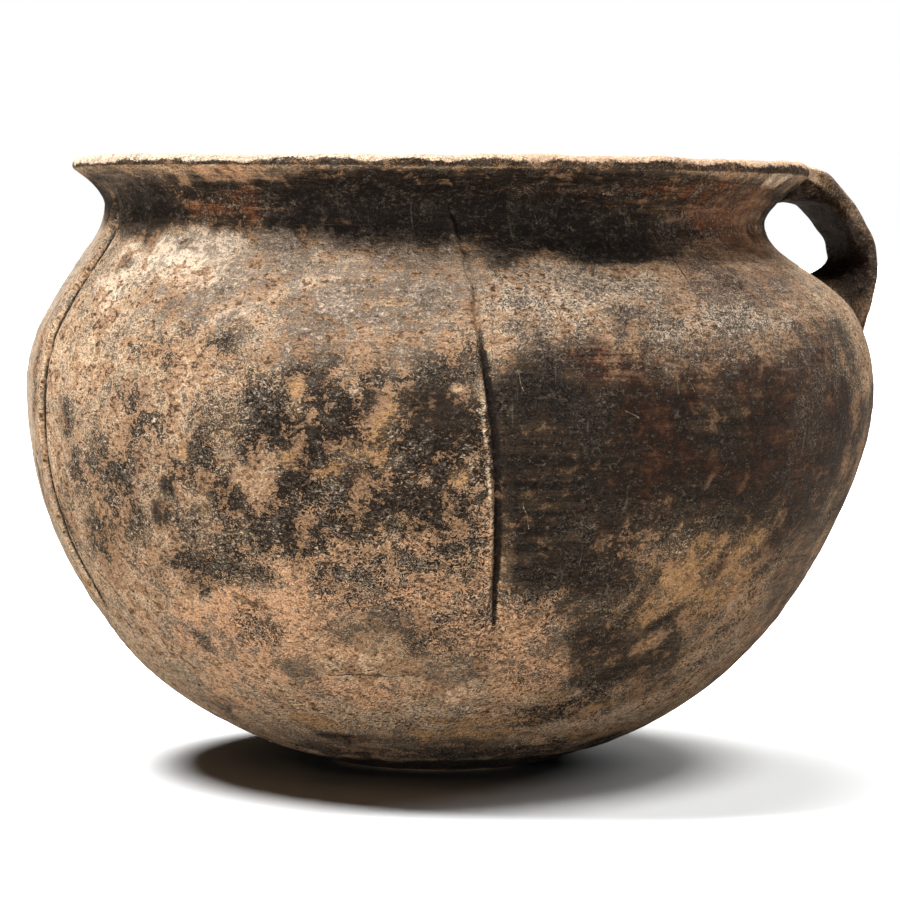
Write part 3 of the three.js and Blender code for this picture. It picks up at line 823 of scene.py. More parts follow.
def grid_faces(rows, columns, wrap_rows=False, wrap_columns=False):
    """Quads of a grid whose columns run to the right of its rows, seen from outside."""
    i = np.arange(rows if wrap_rows else rows - 1)[:, None]
    j = np.arange(columns if wrap_columns else columns - 1)[None, :]
    row, next_row = i * columns, ((i + 1) % rows) * columns
    next_j = (j + 1) % columns
    corners = np.broadcast_arrays(row + j, row + next_j, next_row + next_j, next_row + j)
    return np.stack(corners, axis=-1).reshape(-1, 4).tolist()


def inside_out(faces):
    return [face[::-1] for face in faces]


def edge_ring(rows, columns):
    """Numbers of the points round the edge of a grid."""
    right = [i * columns + columns - 1 for i in range(1, rows)]
    back = [(rows - 1) * columns + j for j in range(columns - 2, -1, -1)]
    left = [i * columns for i in range(rows - 2, 0, -1)]
    return list(range(columns)) + right + back + left


def shell_faces(rows, columns):
    """Faces of a grid, of a second grid behind it and of the strip that joins their edges."""
    count = rows * columns
    face_side = grid_faces(rows, columns)
    back_side = [[count + v for v in face[::-1]] for face in face_side]
    ring = edge_ring(rows, columns)
    strip = [[b, a, count + a, count + b] for a, b in zip(ring, ring[1:] + ring[:1])]
    return face_side + back_side + strip


def grid_normals(points):
    """Normals of a grid of points that closes round the jar, from each point's neighbours."""
    right = (np.roll(points, -1, axis=1) - np.roll(points, 1, axis=1)) / 2
    return unit(np.cross(right, np.gradient(points, axis=0)))


# The vessel: one continuous skin, outside, over the lip and down the inside, cut into the courses


SEAMS = [float(along_at(h)) for h in (BOWL_TOP, LOWER_TOP, BELLY_TOP, SHOULDER_TOP, COLLAR_TOP)]
COURSES = ["base_bowl", "lower_course", "belly_course", "shoulder_course", "neck_collar", "flared_rim"]
COLLAR = COURSES.index("neck_collar")


def column_azimuths():
    """Columns round the jar, closer together along the ribs."""
    ends = [sorted((rib.top, rib.bottom)) for rib in RIBS.values()]
    columns, azimuth = [], -180.0
    while azimuth < 180.0 - COLUMN_STEP / 2:
        columns.append(azimuth)
        near = any(low - FINE_LEFT_OF_RIB <= azimuth <= high + FINE_RIGHT_OF_RIB for low, high in ends)
        azimuth += RIB_COLUMN_STEP if near else COLUMN_STEP
    return np.array(columns)


AZIMUTHS = column_azimuths()
COLUMNS = len(AZIMUTHS)


def spread(stops, step_at):
    """Distances from the first stop to the last that hit each stop, and each stop's number in them."""
    line, at = [stops[0]], [0]
    for k, (low, high) in enumerate(zip(stops[:-1], stops[1:])):
        count = max(2, round(abs(high - low) / step_at(k)))
        line.extend(np.linspace(low, high, count + 1)[1:])
        at.append(len(line) - 1)
    return np.array(line), at


OUTER, OUTER_AT = spread([0.0, *SEAMS, OUTLINE_LENGTH], lambda k: NECK_ROW_STEP if k >= COLLAR else ROW_STEP)
INNER_STOPS = [OUTLINE_LENGTH, *(seam + LAP for seam in reversed(SEAMS)), 0.0]
INNER, INNER_AT = spread(INNER_STOPS, lambda k: INNER_STEP if k else INNER_LIP_STEP)


def lip_waviness(azimuth):
    """Millimetres by which the lip dips and bulges round the mouth."""
    points = place(MOUTH_RADIUS, azimuth, 0.0)
    return np.minimum(swells(points, (0.5, 120, 31), (0.25, 34, 32), (0.13, 12, 33)) - 0.9, -0.1)


def vessel_skin():
    """Points of the whole skin in rows: up the outside, over the lip's nose and down the inside."""
    azimuth, along = np.meshgrid(AZIMUTHS, OUTER)
    outside = wall_place(azimuth, along)
    wavy = lip_waviness(AZIMUTHS)
    outside[..., 2] += 0.35 * wavy * towards_lip(along, 10.0)
    nose = []
    for turn in np.radians(np.linspace(-90.0, 90.0, NOSE_ROWS + 2)[1:-1]):
        spoke = LIP_OUT * math.cos(turn) + LIP_IN * math.sin(turn)
        middle = LIP_MIDDLE + spoke * LIP_WALL / 2
        lift = 0.35 + 0.65 * (0.5 + 0.5 * math.sin(turn))
        nose.append(place(middle[0] + 0.4 * wavy * math.cos(turn), AZIMUTHS, middle[1] + wavy * lift))
    azimuth, along = np.meshgrid(AZIMUTHS, INNER)
    radius, height, radial, upward = outline_at(along)
    worked = swells(place(radius, azimuth, height), (0.6, 90, 41), (0.25, 30, 42))
    worked = worked * smoothstep(along, 4.0, 40.0) * (1 - towards_lip(along, 25.0))
    stand = worked - thickness_at(along)
    rise = upward * stand + wavy * towards_lip(along, 14.0)
    inside = place(radius + radial * stand, azimuth, height + rise)
    return np.concatenate([outside, np.array(nose), inside])


def inner_paint():
    """The inside is evenly tanned and darkest at the bottom; the lip's nose is dark with soot and painted
    shade, its top pale with wear and a painted highlight.
    """
    azimuth, along = np.meshgrid(AZIMUTHS, np.concatenate([np.full(NOSE_ROWS, OUTLINE_LENGTH), INNER]))
    radius, height = outline_at(along)[:2]
    points = place(radius, azimuth, height)
    values = plain_finish("tanned", along.shape)
    deep = 1 - smoothstep(height, 20, 160)
    values["soot"] = np.clip(0.45 + 0.4 * deep + 0.10 * waves(points, 60, 52), 0, 1)
    values["ochre"] = np.clip(0.12 + 0.2 * waves(points, 70, 53), 0, 1)
    values["gloss"] = np.zeros(along.shape)
    turn = np.linspace(0.0, 1.0, NOSE_ROWS + 2)[1:-1, None]
    over = np.full(along.shape, NOSE_LENGTH)
    over[:NOSE_ROWS] = turn * NOSE_LENGTH
    values["flow"] = place(FLOW_RADIUS, azimuth, 2 * OUTLINE_LENGTH - along + over) * MM
    nose_azimuth, nose_points = azimuth[:NOSE_ROWS], points[:NOSE_ROWS]
    # The lip's nose: soot with painted shade under it, and its top made pale by wear with a painted
    # highlight
    for trait, value in {"soot": 0.95, "even": 0.4, "grit": 0.8, "streak": 0.2}.items():
        values[trait][:NOSE_ROWS] = value
    values["pink"][:NOSE_ROWS] = smoothstep(nose_azimuth, -20.0, 25.0) * 0.5 + 0.1
    left = 1 - smoothstep(nose_azimuth, -40.0, -15.0)
    patchy = 0.86 + 0.10 * left + 0.12 * waves(nose_points, 40, 54)
    uneven = swells(nose_points, (0.06, 30, 55), (0.03, 9, 56)) + 0.06 * left
    values["wear_and_highlight"] = 0.7 * towards_lip(along, 10.0)
    values["wear_and_highlight"][:NOSE_ROWS] = smoothstep(turn + uneven, 0.20, 0.48) * patchy
    return values


def close_base(name, points, normals, paint):
    """The base bowl: its skin with the resting spot and the inner floor closed at the axis."""
    shares = np.linspace(1.0, 0.0, BASE_RINGS + 2)[1:-1, None, None]
    floor_height = points[-1, :, 2].mean()
    foot = points[0] * np.concatenate([shares, shares, np.ones_like(shares)], axis=2)
    floor = points[-1] * np.concatenate([shares, shares, np.zeros_like(shares)], axis=2)
    floor[..., 2] = floor_height
    full = np.concatenate([foot[::-1], points, floor])
    centre_under = len(full) * COLUMNS
    centre_floor = centre_under + 1
    all_points = np.concatenate([full.reshape(-1, 3), [[0, 0, 0], [0, 0, floor_height]]])
    faces = grid_faces(len(full), COLUMNS, wrap_columns=True)
    last = (len(full) - 1) * COLUMNS
    for j in range(COLUMNS):
        after = (j + 1) % COLUMNS
        faces.append([centre_under, after, j])
        faces.append([last + j, last + after, centre_floor])
    down, up = ([[0.0, 0.0, z]] for z in (-1.0, 1.0))
    flat = BASE_RINGS * COLUMNS
    all_normals = np.concatenate([np.tile(down, (flat, 1)), normals, np.tile(up, (flat, 1)), down, up])
    all_paint = {}
    for key, value in paint.items():
        first, end = value[:COLUMNS], value[-COLUMNS:]
        rings = [*[first] * BASE_RINGS, value, *[end] * BASE_RINGS]
        all_paint[key] = np.concatenate([*rings, first[:1], end[:1]])
    return make_mesh(name, all_points, faces, all_paint, all_normals)


def build_vessel():
    whole = vessel_skin()
    normals = grid_normals(hand_built(whole))
    paint_outside, paint_inside = wall_paint(*np.meshgrid(AZIMUTHS, OUTER)), inner_paint()
    paint = {name: np.concatenate([paint_outside[name], paint_inside[name]]) for name in paint_outside}
    first_inner = len(OUTER) + NOSE_ROWS
    pieces = {}
    for number, name in enumerate(COURSES):
        rows = list(range(OUTER_AT[number], OUTER_AT[number + 1] + 1))
        if name == COURSES[-1]:
            rows += range(len(OUTER), first_inner)
        back = len(COURSES) - 1 - number
        rows += range(first_inner + INNER_AT[back], first_inner + INNER_AT[back + 1] + 1)
        points, part_normals = whole[rows], normals[rows].reshape(-1, 3)
        part_paint = flat_paint({key: value[rows] for key, value in paint.items()})
        if name == COURSES[0]:
            pieces[name] = close_base(name, points, part_normals, part_paint)
        else:
            faces = grid_faces(len(rows), COLUMNS, wrap_rows=True, wrap_columns=True)
            pieces[name] = make_mesh(name, points.reshape(-1, 3), faces, part_paint, part_normals)
    return pieces


# Handle


def strap_line(count):
    """Middle line of the strap, as radius and height, with its heading."""
    radius, height, radial, upward = outline_at(float(along_at(HANDLE_FOOT_HEIGHT)))
    foot = np.array([radius - FOOT_SINK * radial, height - FOOT_SINK * upward])
    start = LIP_MIDDLE + [0.0, 0.1]
    reach = np.array([HANDLE_REACH, HANDLE_REACH_HEIGHT])
    arrive = np.array([math.cos(FOOT_SLOPE), math.sin(FOOT_SLOPE)])
    over = [start[0] + LIP_PULL * (reach[0] - start[0]), start[1]]
    round_top = [reach[0], reach[1] + REACH_PULL * (start[1] - reach[1])]
    round_foot = [reach[0], reach[1] + REACH_PULL * (foot[1] - reach[1])]
    upper = bezier(start, over, round_top, reach, STRAP_CURVE_POINTS)
    lower = bezier(reach, round_foot, foot + FOOT_LEAD * arrive, foot, STRAP_CURVE_POINTS)
    line = np.concatenate([upper, lower[1:]])
    along = lengths(line)
    even = np.linspace(0, along[-1], count)
    line = np.stack([np.interp(even, along, line[:, i]) for i in (0, 1)], axis=1)
    return line, unit(np.gradient(line, axis=0))


STRAP_LINE, STRAP_HEADING = strap_line(STRAP_LINE_POINTS)
STRAP_TURNS = np.arange(STRAP_COLUMNS) * 2 * math.pi / STRAP_COLUMNS


def strap_points(share, turn, grown=0.0):
    """Points on the strap at shares of its length and turns round its section, a full turn being 2 pi."""
    at = np.clip(share, 0, 1) * (STRAP_LINE_POINTS - 1)
    numbers = np.arange(STRAP_LINE_POINTS)
    guides = (*STRAP_LINE.T, *STRAP_HEADING.T)
    radius, height, run, rise = (np.interp(at, numbers, guide) for guide in guides)
    width = STRAP_WIDTH + STRAP_SPREAD_AT_LIP * (1 - share) ** 4 + STRAP_SPREAD_AT_FOOT * share**4
    thinned = STRAP_THICKNESS - LIP_WALL + STRAP_THINNER_THAN_LIP
    thick = STRAP_THICKNESS - thinned * (1 - smoothstep(share, 0.0, 0.14))
    cos, sin = np.cos(turn), np.sin(turn)
    square = 1.0 - 0.5 * (1 - smoothstep(share, 0.04, 0.3))
    across = np.sign(cos) * np.abs(cos) ** (0.5 * square) * (width / 2 + grown)
    up = np.sign(sin) * np.abs(sin) ** (0.62 * square) * (thick / 2 + grown)
    points = place(radius - rise * up, HANDLE_AZIMUTH, height + run * up, across)
    outward = place(-rise * sin, HANDLE_AZIMUTH, run * sin, 0.25 * cos)
    lumpy = swells(points, (0.45, 34, 76), (0.22, 13, 77)) - 0.3
    return points + outward * (lumpy * smoothstep(share, 0.02, 0.15))[..., None]


def handle_paint(points, share, turn):
    """Paint for the handle: soot and painted shade on the inner face, brown and tan wear along the edges and
    outside.
    """
    inner = smoothstep(-np.sin(turn), 0.0, 0.55)
    low = smoothstep(share, 0.45, 0.75)
    values = plain_finish("tanned", share.shape)
    # The inner face, towards the wall, gets more soot: soot and painted shade
    values["soot"] = np.clip(0.76 + 0.15 * low + 0.5 * inner + 0.12 * waves(points, 24, 72), 0, 1.3)
    values["ochre"] = np.clip(0.25 + 0.2 * waves(points, 26, 73) - 0.2 * inner, 0, 1)
    values["rust"] = np.clip(0.2 + 0.2 * waves(points, 24, 74), 0, 1) * (1 - 0.5 * inner)
    values["pale"] = np.clip(0.2 + 0.2 * waves(points, 28, 75), 0, 1) * (1 - inner)
    values["flow"] = points * MM
    values["wear_and_highlight"] = 0.8 * (1 - smoothstep(share, 0.05, 0.15)) * (1 - inner)
    return values


def build_strap():
    share, turn = np.meshgrid(np.linspace(0, 1, STRAP_ROWS), STRAP_TURNS, indexing="ij")
    points = strap_points(share, turn)
    faces = inside_out(grid_faces(STRAP_ROWS, STRAP_COLUMNS, wrap_columns=True))
    last = (STRAP_ROWS - 1) * STRAP_COLUMNS
    faces.append(list(range(STRAP_COLUMNS)))
    faces.append([last + j for j in reversed(range(STRAP_COLUMNS))])
    paint = flat_paint(handle_paint(points, share, turn))
    return make_mesh("strap_handle", points.reshape(-1, 3), faces, paint)


def fillet(start, start_heading, end, end_heading, steps, pull):
    """Rows of a hollow curve from one ring of points to another, along the two headings at its ends."""
    span = np.linalg.norm(end - start, axis=-1, keepdims=True) * pull
    t = np.linspace(0.0, 1.0, steps)[:, None, None]
    return cubic(t, start, start + start_heading * span, end - end_heading * span, end)


def skirt_place(turn, reach, sunk=0.25):
    """The ring on the wall to which the clay at the strap's foot is drawn out."""
    up = np.where(np.sin(turn) < 0, FOOT_SKIRT_ABOVE, FOOT_SKIRT_BELOW)
    along = float(along_at(HANDLE_FOOT_HEIGHT)) - reach * up * np.sin(turn)
    across = reach * FOOT_SKIRT_ACROSS * np.cos(turn)
    return wall_place(HANDLE_AZIMUTH + np.degrees(across / outline_at(along)[0]), along, -sunk)


def build_foot_luting():
    """Clay drawn from the strap's foot out on to the shoulder."""
    turn = STRAP_TURNS
    ring = FOOT_RING_OUTER + (FOOT_RING_INNER - FOOT_RING_OUTER) * (0.5 - 0.5 * np.sin(turn))
    start = strap_points(ring, turn, -0.1)
    heading = unit(strap_points(ring + 0.02, turn, 0.15) - start)
    end = skirt_place(turn, 1.0)
    away = unit(skirt_place(turn, 1.08) - end)
    skin = fillet(start, heading, end, away, FOOT_SKIN_ROWS, 0.32)
    sunk = skirt_place(turn, 0.8, FOOT_BURIED)
    buried = strap_points(np.full_like(turn, 0.97), turn, -FOOT_BURIED)
    core = strap_points(ring, turn, -FOOT_BURIED)
    points = np.concatenate([skin, [sunk, buried, core]])
    rows, columns = points.shape[:2]
    faces = inside_out(grid_faces(rows, columns, wrap_rows=True, wrap_columns=True))
    out = np.clip(np.arange(rows) / (FOOT_SKIN_ROWS - 1.0), 0, 1)
    share = np.repeat(out[:, None], columns, axis=1)
    lumpy = swells(points, (0.35, 20, 81), (0.15, 8, 82)) * np.sin(share * math.pi)
    points = points + place(1.0, HANDLE_AZIMUTH, 0.3) * lumpy[..., None]
    hand = handle_paint(points, np.full_like(share, 0.5), np.tile(turn, (rows, 1)))
    x, y, z = np.moveaxis(points, -1, 0)
    wall = wall_paint(np.degrees(np.arctan2(x, -y)), along_at(z))
    blend = smoothstep(share, 0.35, 0.95)
    paint = {k: hand[k] + (wall[k] - hand[k]) * (blend if k != "flow" else blend[..., None]) for k in wall}
    return make_mesh("handle_foot_luting", points.reshape(-1, 3), faces, flat_paint(paint))


def build_lip_luting():
    """Clay worked into the corner under the strap, where it leaves the rim."""
    lean = np.sin(np.linspace(-math.pi / 2, math.pi / 2, CORNER_COLUMNS))
    taper = np.sqrt(np.clip(1 - np.abs(lean) ** 9, 0, 1))
    share = CORNER_START + CORNER_LENGTH * taper
    half = (STRAP_WIDTH + STRAP_SPREAD_AT_LIP * (1 - share) ** 4) / 2 - 1.0
    row = (share * (STRAP_LINE_POINTS - 1)).astype(int)
    radius, height = STRAP_LINE[row].T
    run, rise = STRAP_HEADING[row].T
    under = STRAP_THICKNESS / 2 - 1.0 - (1 - taper)
    start = place(radius + rise * under, HANDLE_AZIMUTH, height - run * under, half * lean)
    back = unit(place(-run, HANDLE_AZIMUTH, -rise))
    along = OUTLINE_LENGTH - 1.0 - CORNER_DROP * taper
    azimuth = HANDLE_AZIMUTH + np.degrees(half * lean / outline_at(along)[0])
    end = wall_place(azimuth, along, -CORNER_SUNK)
    down = unit(wall_place(azimuth, along - 2.0, -CORNER_SUNK) - end)
    skin = fillet(start, back, end, down, CORNER_ROWS, 0.2)
    corner_azimuth = HANDLE_AZIMUTH + np.degrees(half * lean / LIP_RADIUS) * 0.98
    corner = place(LIP_MIDDLE[0], corner_azimuth, LIP_MIDDLE[1] - 0.5)
    depth = 0.12 + 0.5 * np.sin(np.linspace(0, 1, CORNER_ROWS)[:, None, None] * math.pi)
    points = np.concatenate([skin, skin + (corner - skin) * depth]).reshape(-1, 3)
    faces = inside_out(shell_faces(CORNER_ROWS, CORNER_COLUMNS))
    # Painted like the strap's inner face: soot and painted shade in the corner under the strap
    paint = handle_paint(points, np.full(len(points), 0.3), np.full(len(points), 1.25 * math.pi))
    return make_mesh("handle_lip_luting", points, faces, flat_paint(paint))


# Materials


def srgb(red, green, blue):
    """A colour given as it looks on a screen, 0 to 255, as the linear colour that a shader takes."""
    shares = [c / 255 for c in (red, green, blue)]
    linear = [c / 12.92 if c <= 0.04045 else ((c + 0.055) / 1.055) ** 2.4 for c in shares]
    return (*linear, 1.0)


TAN = srgb(176, 140, 108)
BUFF = srgb(238, 206, 170)
CREAM = srgb(234, 211, 185)
PINK = srgb(216, 168, 129)
OCHRE = srgb(187, 146, 102)
RUST = srgb(132, 78, 48)
ASH = srgb(158, 138, 121)
SOOT = srgb(13, 10, 8)
BROWN = srgb(28, 19, 13)
SAND = srgb(228, 210, 186)

# Tints of the bare clay by their trait, with the amounts at which each starts to show and is full
TINTS = {
    "pink": (PINK, 0.34, 0.74),
    "pale": (CREAM, 0.36, 0.80),
    "ochre": (OCHRE, 0.40, 0.66),
    "rust": (RUST, 0.24, 0.76),
}


class Nodes:
    """Short ways to add and join the nodes of one tree."""

    def __init__(self, tree):
        self.tree = tree

    def feed(self, socket, value):
        if isinstance(value, bpy.types.NodeSocket):
            self.tree.links.new(value, socket)
        else:
            socket.default_value = value

    def node(self, kind, inputs=None, **settings):
        """A node with its settings, its inputs fed by name or number."""
        node = self.tree.nodes.new(kind)
        for key, value in settings.items():
            setattr(node, key, value)
        for key, value in (inputs or {}).items():
            self.feed(node.inputs[key], value)
        return node

    def joined(self, kind, output, inputs=None, **settings):
        """One output of a new node."""
        return self.node(kind, inputs, **settings).outputs[output]

    def stretched(self, vector, scale):
        return self.joined("ShaderNodeMapping", "Vector", {"Vector": vector, "Scale": scale})

    def noise(self, vector, scale, detail=3.0, roughness=0.55, distortion=0.0, seed=None):
        """Noise about zero, its finest swells 1 / (scale x 2 ^ detail) metres wide."""
        inputs = {
            "Vector": vector,
            "Scale": scale,
            "Detail": detail,
            "Roughness": roughness,
            "Distortion": distortion,
        }
        if seed is not None:
            inputs["W"] = seed
        dimensions = "3D" if seed is None else "4D"
        level = self.joined("ShaderNodeTexNoise", "Fac", inputs, noise_dimensions=dimensions)
        return self.sums("SUBTRACT", level, 0.5)

    def cells(self, vector, scale):
        """Distance to the nearest of scattered points, and a random number for each point."""
        node = self.node("ShaderNodeTexVoronoi", {"Vector": vector, "Scale": scale})
        pick = self.joined("ShaderNodeSeparateColor", "Red", {"Color": node.outputs["Color"]})
        return node.outputs["Distance"], pick

    def moved(self, vector, amount, distance):
        """A vector shifted by an uneven amount, so that round cells come out ragged."""
        inputs = {0: amount, 1: (distance, -distance, distance), 2: vector}
        return self.joined("ShaderNodeVectorMath", "Vector", inputs, operation="MULTIPLY_ADD")

    def sums(self, operation, first, second, third=0.0):
        return self.joined("ShaderNodeMath", 0, {0: first, 1: second, 2: third}, operation=operation)

    def total(self, *terms):
        """Sum of values, each given alone or with its weight."""
        result = 0.0
        for term in terms:
            value, weight = term if isinstance(term, tuple) else (term, 1.0)
            result = self.sums("MULTIPLY_ADD", value, weight, result)
        return result

    def times(self, *values):
        result = values[0]
        for value in values[1:]:
            result = self.sums("MULTIPLY", result, value)
        return result

    def step(self, value, low, high, start=0.0, end=1.0):
        inputs = {"Value": value, "From Min": low, "From Max": high, "To Min": start, "To Max": end}
        return self.joined("ShaderNodeMapRange", "Result", inputs, interpolation_type="SMOOTHSTEP")

    def blend(self, share, first, second, blend_type="MIX"):
        node = self.node("ShaderNodeMix", data_type="RGBA", blend_type=blend_type)
        colours = [socket for socket in node.inputs if socket.type == "RGBA"]
        self.feed(node.inputs["Factor"], share)
        self.feed(colours[0], first)
        self.feed(colours[1], second)
        return next(socket for socket in node.outputs if socket.type == "RGBA")


class Shader(Nodes):
    """The nodes of one material."""

    def __init__(self, name):
        self.material = bpy.data.materials.new(name)
        self.material.use_nodes = True
        super().__init__(self.material.node_tree)
        self.surface = self.tree.nodes["Principled BSDF"].inputs

    def attribute(self, name, output="Fac"):
        return self.joined("ShaderNodeAttribute", output, attribute_name=name)


class Maker(Nodes):
    """A geometry tree with named inputs for its sizes."""

    def __init__(self, name, sizes):
        super().__init__(bpy.data.node_groups.new(name, "GeometryNodeTree"))
        add = self.tree.interface.new_socket
        add("Geometry", in_out="INPUT", socket_type="NodeSocketGeometry")
        for size, value in sizes.items():
            kind = "NodeSocketInt" if isinstance(value, int) else "NodeSocketFloat"
            add(size, in_out="INPUT", socket_type=kind).default_value = value
        add("Material", in_out="INPUT", socket_type="NodeSocketMaterial")
        add("Geometry", in_out="OUTPUT", socket_type="NodeSocketGeometry")
        self.given = self.node("NodeGroupInput").outputs

    def named(self, name, data_type="FLOAT"):
        inputs = {"Name": name}
        return self.joined("GeometryNodeInputNamedAttribute", "Attribute", inputs, data_type=data_type)

    def close(self, geometry):
        """The end of the tree: the result made real and given its material."""
        real = self.joined("GeometryNodeRealizeInstances", "Geometry", {"Geometry": geometry})
        dressed = {"Geometry": real, "Material": self.given["Material"]}
        self.node("NodeGroupOutput", {0: self.joined("GeometryNodeSetMaterial", "Geometry", dressed)})
        return self

    def run(self, piece, material, **sizes):
        """Works the tree on a piece and leaves the result in it as a plain mesh."""
        modifier = piece.modifiers.new(self.tree.name, "NODES")
        modifier.node_group = self.tree
        inputs = {s.name: s.identifier for s in self.tree.interface.items_tree if s.in_out == "INPUT"}
        for size, value in {**sizes, "Material": material}.items():
            modifier[inputs[size]] = value
        graph = bpy.context.evaluated_depsgraph_get()
        plain = bpy.data.meshes.new_from_object(
            piece.evaluated_get(graph), preserve_all_data_layers=True, depsgraph=graph
        )
        piece.modifiers.clear()
        piece.data = plain
        plain.shade_smooth()
        return piece


def clay(name):
    """Low-fired clay: sandy ground, soot in grains and clusters, wipe marks, sand, pits and wear, with
    painted highlights on grain tops and painted shade in pits and crevices.
    """
    s = Shader(name)
    spot = s.joined("ShaderNodeTexCoord", "Object")
    flow = s.attribute("flow", "Vector")
    trait = {trait: s.attribute(trait) for trait in TRAITS}
    soot, grit, even, gloss = (trait[key] for key in ("soot", "grit", "even", "gloss"))
    wear_and_highlight = s.attribute("wear_and_highlight")

    # Patterns from broad to fine
    laid = s.stretched(flow, (1.0, 1.0, 1.3))
    cloud = s.noise(spot, 40.0, 3.0, 0.6, 0.3)
    cluster = s.noise(spot, 115.0, 4.0, 0.66, 0.6)
    clot = s.noise(laid, 260.0, 3.0, 0.6, 1.0)
    grain = s.noise(laid, 560.0, 2.0, 0.6, 0.8)
    fine = s.noise(laid, 1500.0, 1.0, 0.5, 0.5)
    threads = s.sums("ABSOLUTE", s.noise(spot, 330.0, 2.0, 0.55, 2.2), 0.0)
    wiped = s.noise(s.stretched(flow, (30.0, 30.0, 300.0)), 1.0, 4.0, 0.7, 0.6)
    drawn = s.noise(s.stretched(flow, (520.0, 520.0, 34.0)), 1.0, 2.0, 0.5)
    streaks = s.times(trait["streak"], wiped)
    loose = s.total((even, -0.75), 1.0)
    clumps = s.times(s.total((cloud, 1.2), (cluster, 2.4), (clot, 1.2), (grain, 0.4)), loose)

    # Bare clay
    ground = s.step(s.total((cluster, 1.6), (clot, 1.0), (cloud, 0.6)), -0.14, 0.12)
    bare = s.blend(ground, TAN, BUFF)
    for key, (tint, low, high) in TINTS.items():
        bare = s.blend(s.step(s.total(trait[key], clumps, (streaks, 1.5)), low, high), bare, tint)

    # Soot over it, in grains or as a film, and ash; the soot brings the painted shade with it
    dark = s.blend(trait["brown"], SOOT, BROWN)
    dusty = s.step(s.total((clot, 1.0), (grain, 1.0), (cluster, 0.6)), -0.02, 0.26, 0.0, 0.17)
    dark = s.blend(s.times(dusty, grit), dark, ASH)
    pepper = s.times(trait["pepper"], s.total(threads, -0.09))
    flecks = s.times(s.total((clot, 2.2), (grain, 1.1), (fine, 0.4)), s.total((grit, 0.8), 0.4))
    spread_out = s.total((cloud, 1.8), (cluster, 3.6), flecks, (pepper, 6.5), (streaks, 2.0))
    strength = s.step(soot, 0.1, 0.8, 0.66, 1.0)
    grainy = s.times(s.step(s.total(soot, spread_out), 0.42, 0.58), strength)
    film = s.step(s.total(soot, (spread_out, 0.4), (streaks, 1.6)), -0.15, 1.15)
    cover = s.total(grainy, s.times(even, s.total(film, (grainy, -1.0))))
    colour = s.blend(cover, bare, dark)
    ash = s.step(s.total((cluster, 1.4), (clot, 0.8), (streaks, 1.0)), -0.18, 0.2)
    colour = s.blend(s.times(trait["haze"], ash, 0.85), colour, ASH)

    # Pale threads, painted highlights on grain tops, fine scratches, sand, pits and crevices painted dark
    # with shade, and wear with painted highlights
    clear = s.step(soot, 0.5, 1.1, 1.0, 0.3)
    tufts = s.step(s.total(cloud, cluster), -0.04, 0.14)
    thread_share = s.total((grit, 0.34), (trait["pepper"], 0.1))
    colour = s.blend(s.times(s.step(threads, 0.045, 0.015), thread_share, clear, tufts), colour, SAND)
    # Painted highlights on the tops of grains
    lit_grain = s.step(s.total(grain, (fine, 0.8), (cluster, 0.6), (soot, -0.10)), 0.07, 0.17)
    colour = s.blend(s.times(lit_grain, s.total((grit, 0.34), 0.03), clear), colour, BUFF)
    scratch = s.times(s.step(drawn, 0.15, 0.2), s.step(cloud, 0.02, 0.12), gloss)
    colour = s.blend(s.times(scratch, 0.18), colour, SAND)
    sand_distance, sand_pick = s.cells(s.moved(spot, fine, 0.0012), 480.0)
    sand = s.times(s.step(sand_distance, 0.34, 0.16), s.step(sand_pick, 0.90, 0.96))
    colour = s.blend(s.times(sand, s.total((grit, 0.35), -0.02), clear), colour, SAND)
    # Pits, painted dark with shade
    pit_distance, pit_pick = s.cells(s.moved(spot, clot, 0.009), 130.0)
    pit = s.times(s.step(pit_distance, 0.22, 0.10), s.step(pit_pick, 0.90, 0.95))
    colour = s.blend(s.times(pit, 0.7), colour, BROWN)
    # Painted shade in the crevices between grains
    crevice_shade = s.step(s.total(grain, (clot, 0.8), (cluster, 0.5)), -0.09, -0.2)
    colour = s.blend(s.times(crevice_shade, grit, 0.75), colour, BROWN)
    # Wear, with the painted highlights on the lip's top and the rib crests, turns the clay pale
    ragged = s.times(s.total((cluster, 1.2), (grain, 1.4), (fine, 0.7)), loose)
    rubbed = s.step(s.total(wear_and_highlight, ragged), 0.25, 0.75)
    colour = s.blend(s.times(rubbed, 0.95), colour, s.blend(trait["pink"], CREAM, PINK))
    shade = s.total((cluster, 0.9), (clot, 0.9), (grain, 1.5), (fine, 1.6), 1.05)
    colour = s.blend(1.0, colour, s.sums("MAXIMUM", shade, 0.22), "MULTIPLY")
    s.feed(s.surface["Base Color"], colour)

    # Sheen and small relief
    s.feed(s.surface["Roughness"], s.total((gloss, -0.30), (grain, 0.5), (cluster, 0.3), 0.80))
    s.surface["Specular IOR Level"].default_value = 0.14
    rough = s.total((cluster, 1.3), (clot, 1.0), (grain, 1.1), (fine, 0.5), (threads, -0.6))
    height = s.total(s.times(rough, grit), (grain, 0.35), (wiped, 0.25), (pit, -0.6), (sand, 0.15))
    bumps = {"Strength": 1.0, "Distance": 0.0014, "Height": height}
    s.feed(s.surface["Normal"], s.joined("ShaderNodeBump", "Normal", bumps))
    return s.material


# Ribs: a strip of wall that a tree raises into a bank on one side and a steep edge on the other


RIB_GUIDES = ("across", "share", "web", "top", "outward")


